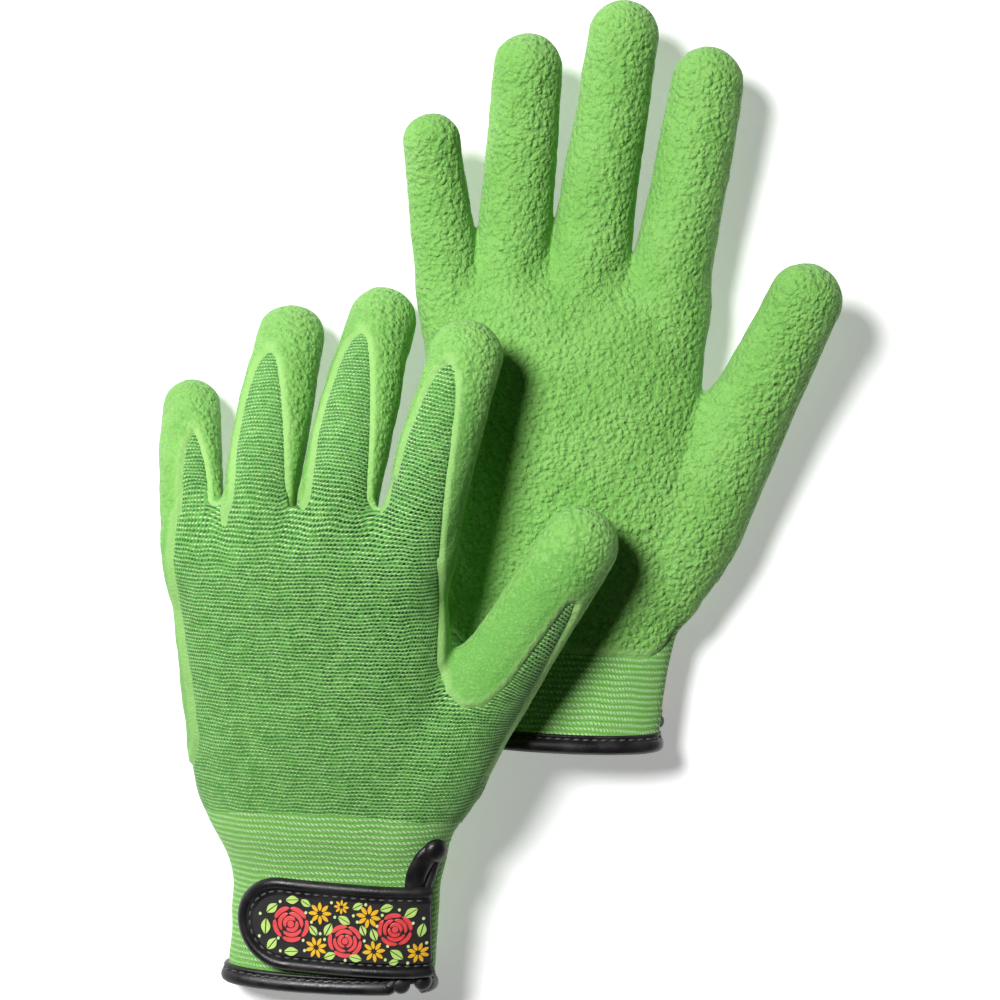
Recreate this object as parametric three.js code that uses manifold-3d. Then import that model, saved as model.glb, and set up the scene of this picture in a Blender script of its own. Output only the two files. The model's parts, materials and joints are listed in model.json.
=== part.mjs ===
// A pair of palm-dipped gardening gloves lying on a flat surface, the left glove palm down
// over the right glove, which lies palm up. Millimetres, +Z up, fingers towards +Y, and both
// thumbs towards +X. The origin is on the surface, under the middle of the pair.
//
// Each glove is a thin knitted liner with an elastic cuff, a latex coat over the palm and the
// fingertips, a bound hem, a bound slit on the thumb side and a hook-and-loop wrist strap.
// Every finger is parted from the palm at a fold line, and notched there so that it can fold up.

import * as THREE from "three";
import { mergeVertices } from "three/addons/utils/BufferGeometryUtils.js";
import Module from "manifold-3d";

const wasm = await Module();
wasm.setup();

// ---- Layers, from the outside in ----
const COAT = 0.9;
const LAYER_GAP = 0.3;
const LINER = 1.0;
const COAT_INNER = -COAT;
const LINER_OUTER = COAT_INNER - LAYER_GAP;
const LINER_INNER = LINER_OUTER - LINER;

// ---- Palm and cuff, measured from the hem along the glove ----
// Each station: distance from the hem, centre's shift towards the thumb, half width, half thickness.
const STATIONS = [
  { along: -12, shift: 0.2, half: 34.8, thick: 10.6 },
  { along: 5, shift: 0.2, half: 34.7, thick: 10.4 },
  { along: 38, shift: 3, half: 35, thick: 10.4 },
  { along: 56, shift: 1, half: 40.8, thick: 13 },
  { along: 76, shift: 1.6, half: 45.4, thick: 15.2 },
  { along: 96, shift: -1.6, half: 45, thick: 16 },
  { along: 120, shift: -4.2, half: 45.3, thick: 15.4 },
  { along: 140, shift: -3.2, half: 43.2, thick: 13.2 },
  { along: 150, shift: -4.6, half: 43, thick: 9 },
];
const SQUARENESS = 2.5; // exponent of the palm's superellipse section
const HEM_RISE = 3; // how far the hem's corners lie above the origin
const HEM_BULGE = 3; // how far the hem reaches lower in its middle
const CUFF_TOP = 60; // where the elastic cuff meets the hand of the glove
const CUFF_SEAM = 0.3;

// ---- Fingers: root of the stall, its width there and its length to the tip ----
// taper: how much narrower the finger is at its tip. depth: how far it reaches back into the palm.
const FINGERS = [
  { name: "little", root: [-41, 141.5], width: 22, length: 64, taper: 0.14, depth: 14 },
  { name: "ring", root: [-22.3, 145], width: 25, length: 85, taper: 0.13, depth: 14 },
  { name: "middle", root: [1.6, 146], width: 27, length: 93.5, taper: 0.2, depth: 14 },
  { name: "index", root: [28.8, 146], width: 26.6, length: 83, taper: 0.15, depth: 14 },
  { name: "thumb", root: [40.6, 76.7], width: 29.8, length: 93, taper: 0.23, depth: 24 },
];
const ROOT_TAPER = 0.25; // how much narrower a finger is where it starts inside the palm
const ROUNDNESS = 0.86; // thickness of a finger over its width
const FOLD_FROM_ROOT = 22; // fold line of a finger, from its root
const THUMB_FOLD_FROM_ROOT = 45;
const FOLD_HEIGHT = 0.6; // height of the fold axis over the finger's middle, over its half thickness
const FOLD_GAP = 0.3;
const FOLD_RANGE = 75;

// ---- Where the coat stops on the back of the glove ----
const COAT_START = 31; // above the hem, on the palm side
const COAT_SIDE_START = 74; // above the hem, round the edge of the hand
const BARE_TIP = 17; // coat on the back of each fingertip
// Outline of the bare knit on the back of the hand, towards the thumb and from the hem.
const BARE_HAND = [
  [-39, COAT_SIDE_START],
  [46, COAT_SIDE_START],
  [41, 88],
  [36, 102],
  [36, 144],
  [-43, 144],
  [-42, 118],
];
const BARE_SHARE = 0.58; // width of the bare knit over the finger's width

// ---- Slit on the thumb side of the cuff ----
const SLIT_TOP = { x: 33.2, y: 49 };
const SLIT_WIDTH = 3;
const SLIT_FOOT = { left: 26, right: 30.5 };
const BINDING = 2.4; // width of the bound edge
const BINDING_PROUD = 1.0; // how far the bound edge stands out from the cuff
const HEM_BINDING = 4.5;

// ---- Wrist strap ----
const STRAP = { tip: -28, sewn: 33, low: 9.2, high: 39.2 };
const STRAP_EDGE = 4.2; // width of the strap's bound edge
const STRAP_AXIS = { x: 34, above: 3.4 };
const STRAP_RANGE = { left: 150, right: 158 };
const LOOP_PAD = { tip: -24.5, sewn: 11, low: 13.5, high: 36, from: 0.3, to: 1.1 };
const HOOK_PAD = { tip: -24, sewn: 5, low: 14.5, high: 35, from: 1.4, to: 2.0 };
const WEB = { from: 2.3, to: 3.3 };
const BADGE = { from: 3.6, to: 4.3 };
const EDGE = { from: 2.0, to: 4.6 };

// ---- The two gloves as they lie ----
// back: which way the back of the hand faces. thumbOut: how far the thumb's root is drawn out.
// heading: each finger's spread, towards the thumb.
// tilt and curl: its slope at the root and how much more it bends by the tip. reach: how far the
// knit is drawn out, over the finger's length.
const GLOVES = [
  {
    name: "left",
    back: 1,
    thumbOut: -4,
    place: [-55.6, -158, 13.2],
    pitch: 12,
    roll: 8,
    turn: 0,
    heading: { little: -12.5, ring: 3.8, middle: 8, index: 13.6, thumb: 31.6 },
    tilt: { little: -24, ring: -18, middle: -20, index: 2, thumb: -3 },
    curl: { little: -34, ring: -34, middle: -34, index: -34, thumb: -10 },
    reach: { little: 1.03, ring: 1.01, middle: 1, index: 0.91, thumb: 1.03 },
  },
  {
    name: "right",
    back: -1,
    thumbOut: 3.2,
    place: [17.2, -80, 14.2],
    pitch: 0,
    roll: 0,
    turn: -3.2,
    heading: { little: -10, ring: 1.5, middle: 5.5, index: 7.2, thumb: 21.7 },
    tilt: { little: 4, ring: 2, middle: 2, index: 2, thumb: 4 },
    curl: { little: 20, ring: 12, middle: 8, index: 8, thumb: 14 },
    reach: { little: 0.98, ring: 1, middle: 1.035, index: 1.01, thumb: 0.97 },
  },
];

const PRESSED = 14.2; // half thickness of a glove where it lies flat on the surface

const AROUND_PALM = 18;
const AROUND_FINGER = 10;
const FAR = 300;

// ---- Solids ----

/** A closed solid from a three.js geometry. */
function solid(geometry) {
  geometry.deleteAttribute("normal");
  geometry.deleteAttribute("uv");
  const merged = mergeVertices(geometry, 1e-4);
  const corners = merged.index.array;
  const kept = [];
  for (let i = 0; i < corners.length; i += 3) {
    const [a, b, c] = corners.slice(i, i + 3);
    if (a !== b && b !== c && c !== a) kept.push(a, b, c);
  }
  return new wasm.Manifold(
    new wasm.Mesh({
      numProp: 3,
      vertProperties: merged.attributes.position.array,
      triVerts: new Uint32Array(kept),
    }),
  );
}

/** A three.js geometry from a solid. */
function geometryOf(body) {
  const mesh = body.getMesh();
  const geometry = new THREE.BufferGeometry();
  geometry.setAttribute("position", new THREE.BufferAttribute(mesh.vertProperties, 3));
  geometry.setIndex(new THREE.BufferAttribute(mesh.triVerts, 1));
  return geometry;
}

/** Moves every vertex of a geometry to where map says. */
function mapped(geometry, map) {
  const at = geometry.attributes.position;
  const point = new THREE.Vector3();
  for (let i = 0; i < at.count; i++) {
    point.copy(map(point.fromBufferAttribute(at, i)));
    at.setXYZ(i, point.x, point.y, point.z);
  }
  return geometry;
}

/** A box between two corners. */
function box(low, high) {
  const size = high.map((v, i) => v - low[i]);
  const middle = high.map((v, i) => (v + low[i]) / 2);
  return solid(new THREE.BoxGeometry(...size).translate(...middle));
}

/** The largest piece of a solid, without the slivers that a cut can leave. */
function largest(body) {
  return body.decompose().reduce((a, b) => (b.volume() > a.volume() ? b : a));
}

// ---- Palm ----

const stationCurve = (key) =>
  new THREE.CatmullRomCurve3(
    STATIONS.map((s) => new THREE.Vector3(s.along, s[key], 0)),
    false,
    "catmullrom",
    0.5,
  );
const curves = { shift: stationCurve("shift"), half: stationCurve("half"), thick: stationCurve("thick") };

/** The palm's size at a share of the way along its stations. */
function palmAt(share) {
  return {
    along: curves.shift.getPoint(share).x,
    shift: curves.shift.getPoint(share).y,
    half: curves.half.getPoint(share).y,
    thick: curves.thick.getPoint(share).y,
  };
}

/** The palm and cuff as one closed solid, grown outwards by grow. */
function palm(grow) {
  const rings = STATIONS.length - 1;
  const tube = new THREE.CylinderGeometry(1, 1, 1, AROUND_PALM, rings);
  return solid(
    mapped(tube, (p) => {
      const size = palmAt(p.y + 0.5);
      const top = p.y > 0.499 ? grow : 0;
      const angle = Math.atan2(p.z, p.x);
      const reach = Math.hypot(p.x, p.z);
      const power = 2 / SQUARENESS;
      const x = Math.sign(p.x) * Math.abs(Math.cos(angle)) ** power * (size.half + grow);
      const z = Math.sign(p.z) * Math.abs(Math.sin(angle)) ** power * (size.thick + grow);
      return p.set(size.shift + reach * x, size.along + top, reach * z);
    }),
  );
}

// ---- Fingers ----

const deg = THREE.MathUtils.degToRad;

/** The fingers with their roots and lengths in one glove. */
const fingersOf = (glove) =>
  FINGERS.map((f) => {
    const out = f.name === "thumb" ? glove.thumbOut : 0;
    return { ...f, root: [f.root[0] + out, f.root[1]], length: f.length * glove.reach[f.name] };
  });

/** How one finger lies: points and directions along its middle line. */
function spineOf(finger, glove) {
  const heading = deg(glove.heading[finger.name]);
  const tilt = deg(glove.tilt[finger.name]);
  const curl = deg(glove.curl[finger.name]);
  const ahead = new THREE.Vector3(Math.sin(heading), Math.cos(heading), 0);
  const side = new THREE.Vector3(Math.cos(heading), -Math.sin(heading), 0);
  const radius = finger.length / curl;
  const slopeAt = (s) => (s > 0 ? tilt + (curl * s) / finger.length : 0);
  return {
    side,
    slopeAt,
    at(s) {
      const slope = slopeAt(s);
      const run = s > 0 ? radius * (Math.sin(slope) - Math.sin(tilt)) : s;
      const rise = s > 0 ? radius * (Math.cos(tilt) - Math.cos(slope)) : 0;
      return new THREE.Vector3(finger.root[0], finger.root[1], 0)
        .addScaledVector(ahead, run)
        .add(new THREE.Vector3(0, 0, rise));
    },
    along: (s) =>
      ahead.clone().multiplyScalar(Math.cos(slopeAt(s))).add(new THREE.Vector3(0, 0, Math.sin(slopeAt(s)))),
    up: (s) =>
      ahead.clone().multiplyScalar(-Math.sin(slopeAt(s))).add(new THREE.Vector3(0, 0, Math.cos(slopeAt(s)))),
  };
}

const halfWidth = ({ width, taper, length, depth }, s) =>
  (width / 2) * (1 - (s > 0 ? (taper * s) / length : ROOT_TAPER * (s / depth) ** 2));

/** A point of a finger: u across, s along and v up, u and v in half widths of the finger. */
function onFinger(finger, spine, u, s, v, grow) {
  const half = halfWidth(finger, s);
  return spine
    .at(s)
    .addScaledVector(spine.side, u * (half + grow))
    .addScaledVector(spine.up(s), v * (half * ROUNDNESS + grow));
}

/** One finger stall as a closed solid with a round tip, grown outwards by grow. */
function stall(finger, glove, grow) {
  const spine = spineOf(finger, glove);
  const tipHalf = halfWidth(finger, finger.length);
  const tipStart = finger.length - tipHalf;
  const base = -finger.depth - grow;
  const capsule = new THREE.CapsuleGeometry(1, 2, 3, AROUND_FINGER, 4);
  return solid(
    mapped(capsule, (p) => {
      const past = Math.max(0, p.y - 1);
      const body = THREE.MathUtils.clamp((p.y + 1) / 2, 0, 1);
      const s = THREE.MathUtils.lerp(base, tipStart, body) + past * (tipHalf + grow);
      return p.copy(onFinger(finger, spine, p.x, s, p.z, grow));
    }),
  );
}

/** The bare knit on a finger's back, as a solid that cuts its coat. */
function bareTongue(finger, glove) {
  const spine = spineOf(finger, glove);
  const top = finger.length - BARE_TIP;
  const outline = new THREE.Shape();
  outline.moveTo(-BARE_SHARE, -finger.depth);
  outline.lineTo(BARE_SHARE, -finger.depth);
  outline.lineTo(BARE_SHARE, top * 0.5);
  outline.quadraticCurveTo(BARE_SHARE * 0.8, top * 0.9, 0, top);
  outline.quadraticCurveTo(-BARE_SHARE * 0.8, top * 0.9, -BARE_SHARE, top * 0.5);
  const prism = new THREE.ExtrudeGeometry(outline, { depth: 1.2, bevelEnabled: false, curveSegments: 4 });
  return solid(
    mapped(prism, (p) => {
      const v = glove.back > 0 ? p.z + 0.3 : p.z - 1.5;
      return p.copy(onFinger(finger, spine, p.x, p.y, v, 2));
    }),
  );
}

const foldAt = (finger) => (finger.name === "thumb" ? THUMB_FOLD_FROM_ROOT : FOLD_FROM_ROOT);

/** The frame of a finger's fold: its origin on the fold axis, X along the axis, Y along the finger. */
function foldFrame(finger, glove) {
  const spine = spineOf(finger, glove);
  const s = foldAt(finger);
  const lift = halfWidth(finger, s) * ROUNDNESS * FOLD_HEIGHT;
  const frame = new THREE.Matrix4().makeBasis(spine.side, spine.along(s), spine.up(s));
  return frame.setPosition(spine.at(s).addScaledVector(spine.up(s), lift));
}

/** The space past a finger's fold, and the space before it with the notch that folding up needs. */
function foldSides(finger, glove) {
  const frame = foldFrame(finger, glove);
  const s = foldAt(finger);
  const reach = halfWidth(finger, s) + 1.5;
  const notch = halfWidth(finger, s) * ROUNDNESS * (1 - FOLD_HEIGHT) + 1.2;
  const placed = (low, high) => box(low, high).transform(frame.toArray());
  const back = -(foldAt(finger) + finger.depth + 5);
  const ahead = placed([-reach, FOLD_GAP / 2, -FAR / 4], [reach, FAR / 2, FAR / 4]);
  const before = placed([-reach, back, -FAR / 4], [reach, -FOLD_GAP / 2, FAR / 4]);
  const cut = placed([-reach, -notch, 0], [reach, FAR / 4, FAR / 4]);
  return { ahead, before: before.subtract(cut) };
}

// ---- Parts of the cuff ----

/** The height of the cuff's surface over the middle of the glove. */
function cuffHeight(x, y, grow) {
  let near = palmAt(0);
  for (let i = 1; i <= 200; i++) {
    const next = palmAt(i / 200);
    if (Math.abs(next.along - y) < Math.abs(near.along - y)) near = next;
  }
  const share = Math.min(1, Math.abs(x - near.shift) / (near.half + grow));
  return (near.thick + grow) * (1 - share ** SQUARENESS) ** (1 / SQUARENESS);
}

/** A prism on one side of the glove's middle, with an outline seen from above. */
function prism(outline, back, from = 0) {
  const depth = 40;
  const geometry = new THREE.ExtrudeGeometry(outline, { depth, bevelEnabled: false, curveSegments: 8 });
  geometry.translate(0, 0, back > 0 ? from : -depth - from);
  return solid(geometry);
}

/** The outline of a pad with its thumb end square and its other end round. */
function padOutline({ tip, sewn, low, high }, inset = 0) {
  const radius = (high - low) / 2 - inset;
  const middle = (high + low) / 2;
  const outline = new THREE.Shape();
  outline.moveTo(sewn, middle - radius);
  outline.lineTo(sewn, middle + radius);
  outline.lineTo(tip + inset + radius, middle + radius);
  outline.absarc(tip + inset + radius, middle, radius, Math.PI / 2, (3 * Math.PI) / 2, false);
  return outline;
}

/** The space below the curved hem line, shifted up by raise. */
function belowHem(raise) {
  const outline = new THREE.Shape();
  const ends = raise + HEM_RISE;
  outline.moveTo(-60, ends);
  outline.quadraticCurveTo(0, ends - 2 * HEM_BULGE, 60, ends);
  outline.lineTo(60, -60);
  outline.lineTo(-60, -60);
  return prism(outline, 1).add(prism(outline, -1));
}

/** The slit's outline, widened by grow. */
function slitOutline(grow) {
  const half = SLIT_WIDTH / 2 + grow;
  const foot = -20;
  const outline = new THREE.Shape();
  outline.moveTo(SLIT_FOOT.left - grow, foot);
  outline.lineTo(SLIT_FOOT.right + grow, foot);
  outline.lineTo(SLIT_TOP.x + half, SLIT_TOP.y);
  outline.absarc(SLIT_TOP.x, SLIT_TOP.y, half, 0, Math.PI, false);
  return outline;
}

// ---- One glove ----

/** Every solid of one glove, in the glove's own frame, with the body that it moves with. */
function gloveParts(glove) {
  const { name, back } = glove;
  const fingers = fingersOf(glove);
  const parts = [];
  const put = (node, body, shape) => parts.push({ node: `${name}_${node}`, body: `${name}_${body}`, shape });

  const layers = [0, COAT_INNER, LINER_OUTER, LINER_INNER].map((grow) => ({
    palm: palm(grow),
    stalls: fingers.map((f) => stall(f, glove, grow)),
  }));
  const [coatOuter, coatInner, linerOuter, linerInner] = layers;
  const folds = fingers.map((f) => foldSides(f, glove));
  const tongues = fingers.map((f) => bareTongue(f, glove));
  const handOf = (layer) =>
    layer.stalls.reduce((sum, s, i) => sum.add(s.intersect(folds[i].before)), layer.palm);
  const fullOf = (layer) => layer.stalls.reduce((sum, s) => sum.add(s), layer.palm);

  // The hand: knitted liner, coat and elastic cuff.
  const hemless = belowHem(0);
  const underside = box([-FAR, -FAR, -FAR], [FAR, FAR, -PRESSED]);
  const linerHand = handOf(linerOuter).subtract(fullOf(linerInner)).subtract(underside);
  const aboveCuff = box([-FAR, CUFF_TOP + CUFF_SEAM / 2, -FAR], [FAR, FAR, FAR]);
  const inCuff = box([-FAR, -FAR, -FAR], [FAR, CUFF_TOP - CUFF_SEAM / 2, FAR]);
  put("palm_liner", "palm", largest(linerHand.intersect(aboveCuff)));
  const slit = prism(slitOutline(0), back, 0);
  const bound = prism(slitOutline(BINDING + LAYER_GAP), back, 0);
  const hemBand = belowHem(HEM_BINDING + LAYER_GAP);
  put("cuff", "palm", largest(linerHand.intersect(inCuff).subtract(hemBand).subtract(bound)));

  const bareHand = new THREE.Shape(BARE_HAND.map((corner) => new THREE.Vector2(...corner)));
  const bareWrist = box([-FAR, -FAR, back > 0 ? -5 : -FAR], [FAR, COAT_SIDE_START, back > 0 ? FAR : 5]);
  const coated = box([-FAR, COAT_START, -FAR], [FAR, FAR, FAR]);
  const bareBack = tongues.reduce((sum, t) => sum.add(t), prism(bareHand, back, 3).add(bareWrist));
  const coatHand = handOf(coatOuter).subtract(fullOf(coatInner)).intersect(coated).subtract(bareBack);
  put("palm_coat", "palm", largest(coatHand));

  // The fingers.
  fingers.forEach((finger, i) => {
    const past = folds[i].ahead;
    const liner = linerOuter.stalls[i].subtract(linerInner.stalls[i]).intersect(past);
    const coat = coatOuter.stalls[i].subtract(coatInner.stalls[i]).intersect(past).subtract(tongues[i]);
    put(`${finger.name}_liner`, finger.name, largest(liner));
    put(`${finger.name}_coat`, finger.name, largest(coat));
  });

  // The bound hem and the bound slit.
  const proud = palm(LINER_OUTER + BINDING_PROUD);
  const deep = palm(LINER_INNER - BINDING_PROUD);
  const edging = proud.subtract(deep);
  const hem = edging.intersect(belowHem(HEM_BINDING)).subtract(hemless).subtract(bound);
  put("hem_binding", "palm", largest(hem));
  const slitEdge = prism(slitOutline(BINDING), back, 0).subtract(slit).subtract(hemless);
  put("slit_binding", "palm", largest(edging.intersect(slitEdge)));

  // The wrist strap and what it fastens to.
  const layerOver = (from, to) => palm(LINER_OUTER + to).subtract(palm(LINER_OUTER + from));
  const padOver = (pad, inset, { from, to }) =>
    layerOver(from, to).intersect(prism(padOutline(pad, inset), back, 0));
  put("loop_pad", "palm", largest(padOver(LOOP_PAD, 0, LOOP_PAD)));
  put("hook_pad", "strap", largest(padOver(HOOK_PAD, 0, HOOK_PAD)));
  put("strap_web", "strap", largest(padOver(STRAP, STRAP_EDGE + LAYER_GAP, WEB)));
  put("strap_badge", "strap", largest(padOver(STRAP, STRAP_EDGE + LAYER_GAP, BADGE)));
  const insideEdge = prism(padOutline({ ...STRAP, sewn: 60 }, STRAP_EDGE), back, 0);
  put("strap_binding", "strap", largest(padOver(STRAP, 0, EDGE).subtract(insideEdge)));
  return parts;
}

// ---- The pair ----

const finish = {
  liner: new THREE.MeshStandardMaterial({ color: 0x4fae3c, roughness: 0.95, metalness: 0 }),
  coat: new THREE.MeshStandardMaterial({ color: 0x6fc04a, roughness: 0.8, metalness: 0 }),
  cuff: new THREE.MeshStandardMaterial({ color: 0x8ccb6a, roughness: 0.95, metalness: 0 }),
  binding: new THREE.MeshStandardMaterial({ color: 0x17171a, roughness: 0.4, metalness: 0 }),
  pad: new THREE.MeshStandardMaterial({ color: 0x101010, roughness: 1, metalness: 0 }),
  web: new THREE.MeshStandardMaterial({ color: 0x1b1b1d, roughness: 0.9, metalness: 0 }),
  badge: new THREE.MeshStandardMaterial({ color: 0x262628, roughness: 0.6, metalness: 0 }),
};

const pair = new THREE.Group();
const hinges = [];
for (const glove of GLOVES) {
  const lying = new THREE.Group();
  lying.rotation.set(deg(glove.pitch), deg(-glove.roll), deg(glove.turn), "ZXY");
  lying.position.set(...glove.place);
  pair.add(lying);
  for (const { node, body, shape } of gloveParts(glove)) {
    const mesh = new THREE.Mesh(geometryOf(shape), finish[node.split("_").pop()]);
    mesh.name = node;
    mesh.userData.body = body;
    lying.add(mesh);
  }

  // A hinge turns about the X axis of its frame, and a positive angle lifts its piece off the glove.
  const hinge = (name, frame, last) => hinges.push({ name: `${glove.name}_${name}`, lying, frame, last });
  for (const finger of fingersOf(glove)) {
    hinge(`${finger.name}_fold`, foldFrame(finger, glove), FOLD_RANGE);
  }
  const middle = (STRAP.low + STRAP.high) / 2;
  const height = glove.back * (cuffHeight(STRAP_AXIS.x, middle, LINER_OUTER) + STRAP_AXIS.above);
  const strapFrame = new THREE.Matrix4()
    .makeRotationZ((glove.back * Math.PI) / 2)
    .setPosition(STRAP_AXIS.x, middle, height);
  hinge("strap_open", strapFrame, STRAP_RANGE[glove.name]);
}

// The origin goes under the middle of the pair, on the surface.
const extent = new THREE.Box3().setFromObject(pair, true);
const middleOfPair = extent.getCenter(new THREE.Vector3());
pair.position.set(-middleOfPair.x, -middleOfPair.y, -extent.min.z);
pair.updateMatrixWorld(true);

pair.userData.hinges = hinges.map(({ name, lying, frame, last }) => {
  const world = lying.matrixWorld.clone().multiply(frame);
  const axis = new THREE.Vector3().setFromMatrixColumn(world, 0).normalize().toArray();
  const at = new THREE.Vector3().setFromMatrixPosition(world).toArray();
  return { name, at, axis, range: [0, last] };
});

export default pair;
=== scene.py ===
"""A pair of palm-dipped gardening gloves with an elastic cuff, a bound hem and slit, and a strap.

Each glove is designed in its own frame, in millimetres: X towards the thumb, Y from the hem to the
fingertips, Z up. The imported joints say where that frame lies. The hand of the glove is one smooth
field, a palm joined to five fingers, and its surface is meshed once, then parted where it bends.
"""

import json
import math

import bmesh
import bpy
import numpy as np
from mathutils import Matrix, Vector


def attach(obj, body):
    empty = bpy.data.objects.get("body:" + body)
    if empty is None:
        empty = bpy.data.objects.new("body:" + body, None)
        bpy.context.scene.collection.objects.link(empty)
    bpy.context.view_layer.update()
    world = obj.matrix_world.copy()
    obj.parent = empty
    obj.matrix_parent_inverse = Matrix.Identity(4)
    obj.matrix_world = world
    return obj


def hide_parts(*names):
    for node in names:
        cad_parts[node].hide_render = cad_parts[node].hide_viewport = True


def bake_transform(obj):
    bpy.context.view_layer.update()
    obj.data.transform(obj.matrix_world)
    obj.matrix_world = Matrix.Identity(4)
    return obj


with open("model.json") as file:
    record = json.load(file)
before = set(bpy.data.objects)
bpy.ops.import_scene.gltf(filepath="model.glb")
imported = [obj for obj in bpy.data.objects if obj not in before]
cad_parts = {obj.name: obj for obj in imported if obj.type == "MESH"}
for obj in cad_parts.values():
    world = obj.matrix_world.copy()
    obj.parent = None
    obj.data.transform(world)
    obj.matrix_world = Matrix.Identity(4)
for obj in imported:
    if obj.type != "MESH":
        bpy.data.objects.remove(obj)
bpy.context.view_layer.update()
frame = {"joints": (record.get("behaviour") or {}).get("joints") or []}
MM = 0.001

# ---- The glove's design, as in the CAD ----

# distance from the hem, centre's shift towards the thumb, half width, half thickness
STATIONS = np.array(
    [
        (-12, 0.2, 34.8, 10.6),
        (5, 0.2, 34.7, 10.4),
        (38, 3, 35, 10.4),
        (56, 1, 40.8, 13),
        (76, 1.6, 45.4, 15.2),
        (96, -1.6, 45, 16),
        (120, -4.2, 45.3, 15.4),
        (140, -3.2, 43.2, 13.2),
        (150, -4.6, 43, 9),
        (159, -4.6, 37, 3.5),
    ]
)
SQUARENESS = 2.5
HEM_RISE = 3
HEM_BULGE = 3
HEM_LEAN = 0.12
CUFF_TOP = 62.3
CUFF_TOP_BEND = 0.0018
FINGERS = {
    "little": dict(root=(-41, 141.5), width=22, length=64, taper=0.14, depth=14, fold=22),
    "ring": dict(root=(-22.3, 145), width=25, length=85, taper=0.13, depth=14, fold=22),
    "middle": dict(root=(1.6, 146), width=27, length=93.5, taper=0.2, depth=14, fold=22),
    "index": dict(root=(28.8, 146), width=26.6, length=83, taper=0.15, depth=14, fold=22),
    "thumb": dict(root=(40.6, 76.7), width=29.8, length=93, taper=0.23, depth=24, fold=45),
}
ROUNDNESS = 0.86
ROOT_TAPER = 0.25
FOLD_HEIGHT = 0.6
GLOVES = {
    "left": dict(
        back=1,
        thumb_out=-4,
        heading=dict(little=-12.5, ring=3.8, middle=8, index=13.6, thumb=31.6),
        tilt=dict(little=-24, ring=-18, middle=-20, index=2, thumb=-3),
        curl=dict(little=-34, ring=-34, middle=-34, index=-34, thumb=-10),
        reach=dict(little=1.03, ring=1.01, middle=1, index=0.91, thumb=1.03),
    ),
    "right": dict(
        back=-1,
        thumb_out=3.2,
        heading=dict(little=-10, ring=1.5, middle=5.5, index=7.2, thumb=21.7),
        tilt=dict(little=4, ring=2, middle=2, index=2, thumb=4),
        curl=dict(little=20, ring=12, middle=8, index=8, thumb=14),
        reach=dict(little=0.98, ring=1, middle=1.035, index=1.01, thumb=0.97),
    ),
}
STRAP = dict(tip=-27.3, sewn=35, low=10.9, high=40.9)
STRAP_EDGE = 5.0
PRESSED = 14.2  # the table flattens the right glove's back this far below its middle plane
# the right glove's heel is widened where the left glove hides it, so no floor shows past it
HEEL_BULGE = dict(out=10, y=44, spread=13)
CLEFT = dict(width=1.5, start=15)  # the gap between the left ring and middle fingers

# ---- Layers of the hand, below the outermost surface ----
KNIT_DEPTH = 0.75
KNIT_UNDER_COAT = 1.5
INNER_DEPTH = 2.2
COAT_LIP = 0.35  # how far the coat's edge stands up
BACK_CRINKLE = 0.26  # the latex's crinkle on the back of the hand, where the palm has 1
RIDGES = ((2.6, 0.16, 0), (5.2, 0.14, 3))  # size, height and place in the noise of the coat's ridges
HEM_COVER = 1.5  # the cloth ends this far inside the hem's tape
MESH_STEP = 1.0
INNER_STEP = 2.4
SLOPE_REACH = 0.4  # half the distance over which a field's slope is taken
MESH_BOX = dict(
    left=np.array([(-62.0, -12, -58), (112, 246, 26)]),
    right=np.array([(-62.0, -12, -24), (112, 246, 30)]),
)


# ---- Numbers and fields ----


def unit(v):
    return v / (np.linalg.norm(v, axis=-1, keepdims=True) + 1e-12)


def smooth_step(low, high, value):
    t = np.clip((value - low) / (high - low), 0, 1)
    return t * t * (3 - 2 * t)


def smooth_min(a, b, blend):
    h = np.clip(0.5 + 0.5 * (b - a) / blend, 0, 1)
    return b + (a - b) * h - blend * h * (1 - h)


def smooth_max(a, b, blend):
    return -smooth_min(-a, -b, blend)


class Noise:
    """Smooth seeded noise in space, from -1 to 1, with features about one unit across."""

    SIDE = 32

    def __init__(self, seed):
        self.grid = np.random.default_rng(seed).uniform(-1, 1, (self.SIDE,) * 3)

    def __call__(self, points):
        cell = np.floor(points).astype(int)
        t = points - cell
        t = t * t * (3 - 2 * t)
        total = 0
        for corner in np.ndindex(2, 2, 2):
            at = (cell + corner) % self.SIDE
            share = np.prod(np.where(corner, t, 1 - t), axis=-1)
            total = total + share * self.grid[at[..., 0], at[..., 1], at[..., 2]]
        return total


def catmull_rom(rows, steps=12):
    """The rows joined by a smooth curve, with steps points between each two."""
    padded = np.vstack([2 * rows[0] - rows[1], rows, 2 * rows[-1] - rows[-2]])
    t = np.linspace(0, 1, steps, endpoint=False)[:, None]
    parts = []
    for a, b, c, d in zip(padded, padded[1:], padded[2:], padded[3:]):
        m0, m1 = (c - a) / 2, (d - b) / 2
        parts.append(
            (2 * t**3 - 3 * t**2 + 1) * b
            + (t**3 - 2 * t**2 + t) * m0
            + (-2 * t**3 + 3 * t**2) * c
            + (t**3 - t**2) * m1
        )
    return np.vstack(parts + [rows[-1:]])


SECTIONS = catmull_rom(STATIONS)


def section_at(y):
    """Shift, half width and half thickness of the palm at distances y from the hem."""
    return [np.interp(y, SECTIONS[:, 0], SECTIONS[:, k]) for k in (1, 2, 3)]


def palm_field(p):
    """About the distance from the palm and cuff's surface, negative inside."""
    x, y, z = p[..., 0], p[..., 1], p[..., 2]
    shift, half, thick = section_at(y)
    n = SQUARENESS
    a = np.abs(x - shift) / half
    b = np.abs(z) / thick
    r = (a**n + b**n + 1e-9) ** (1 / n)
    slope = np.hypot(a ** (n - 1) / half, b ** (n - 1) / thick) * r ** (1 - n) + 1e-3
    around = (r - 1) * np.minimum(1 / slope, 14)
    return smooth_max(around, y - STATIONS[-1, 0], 3)


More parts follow.
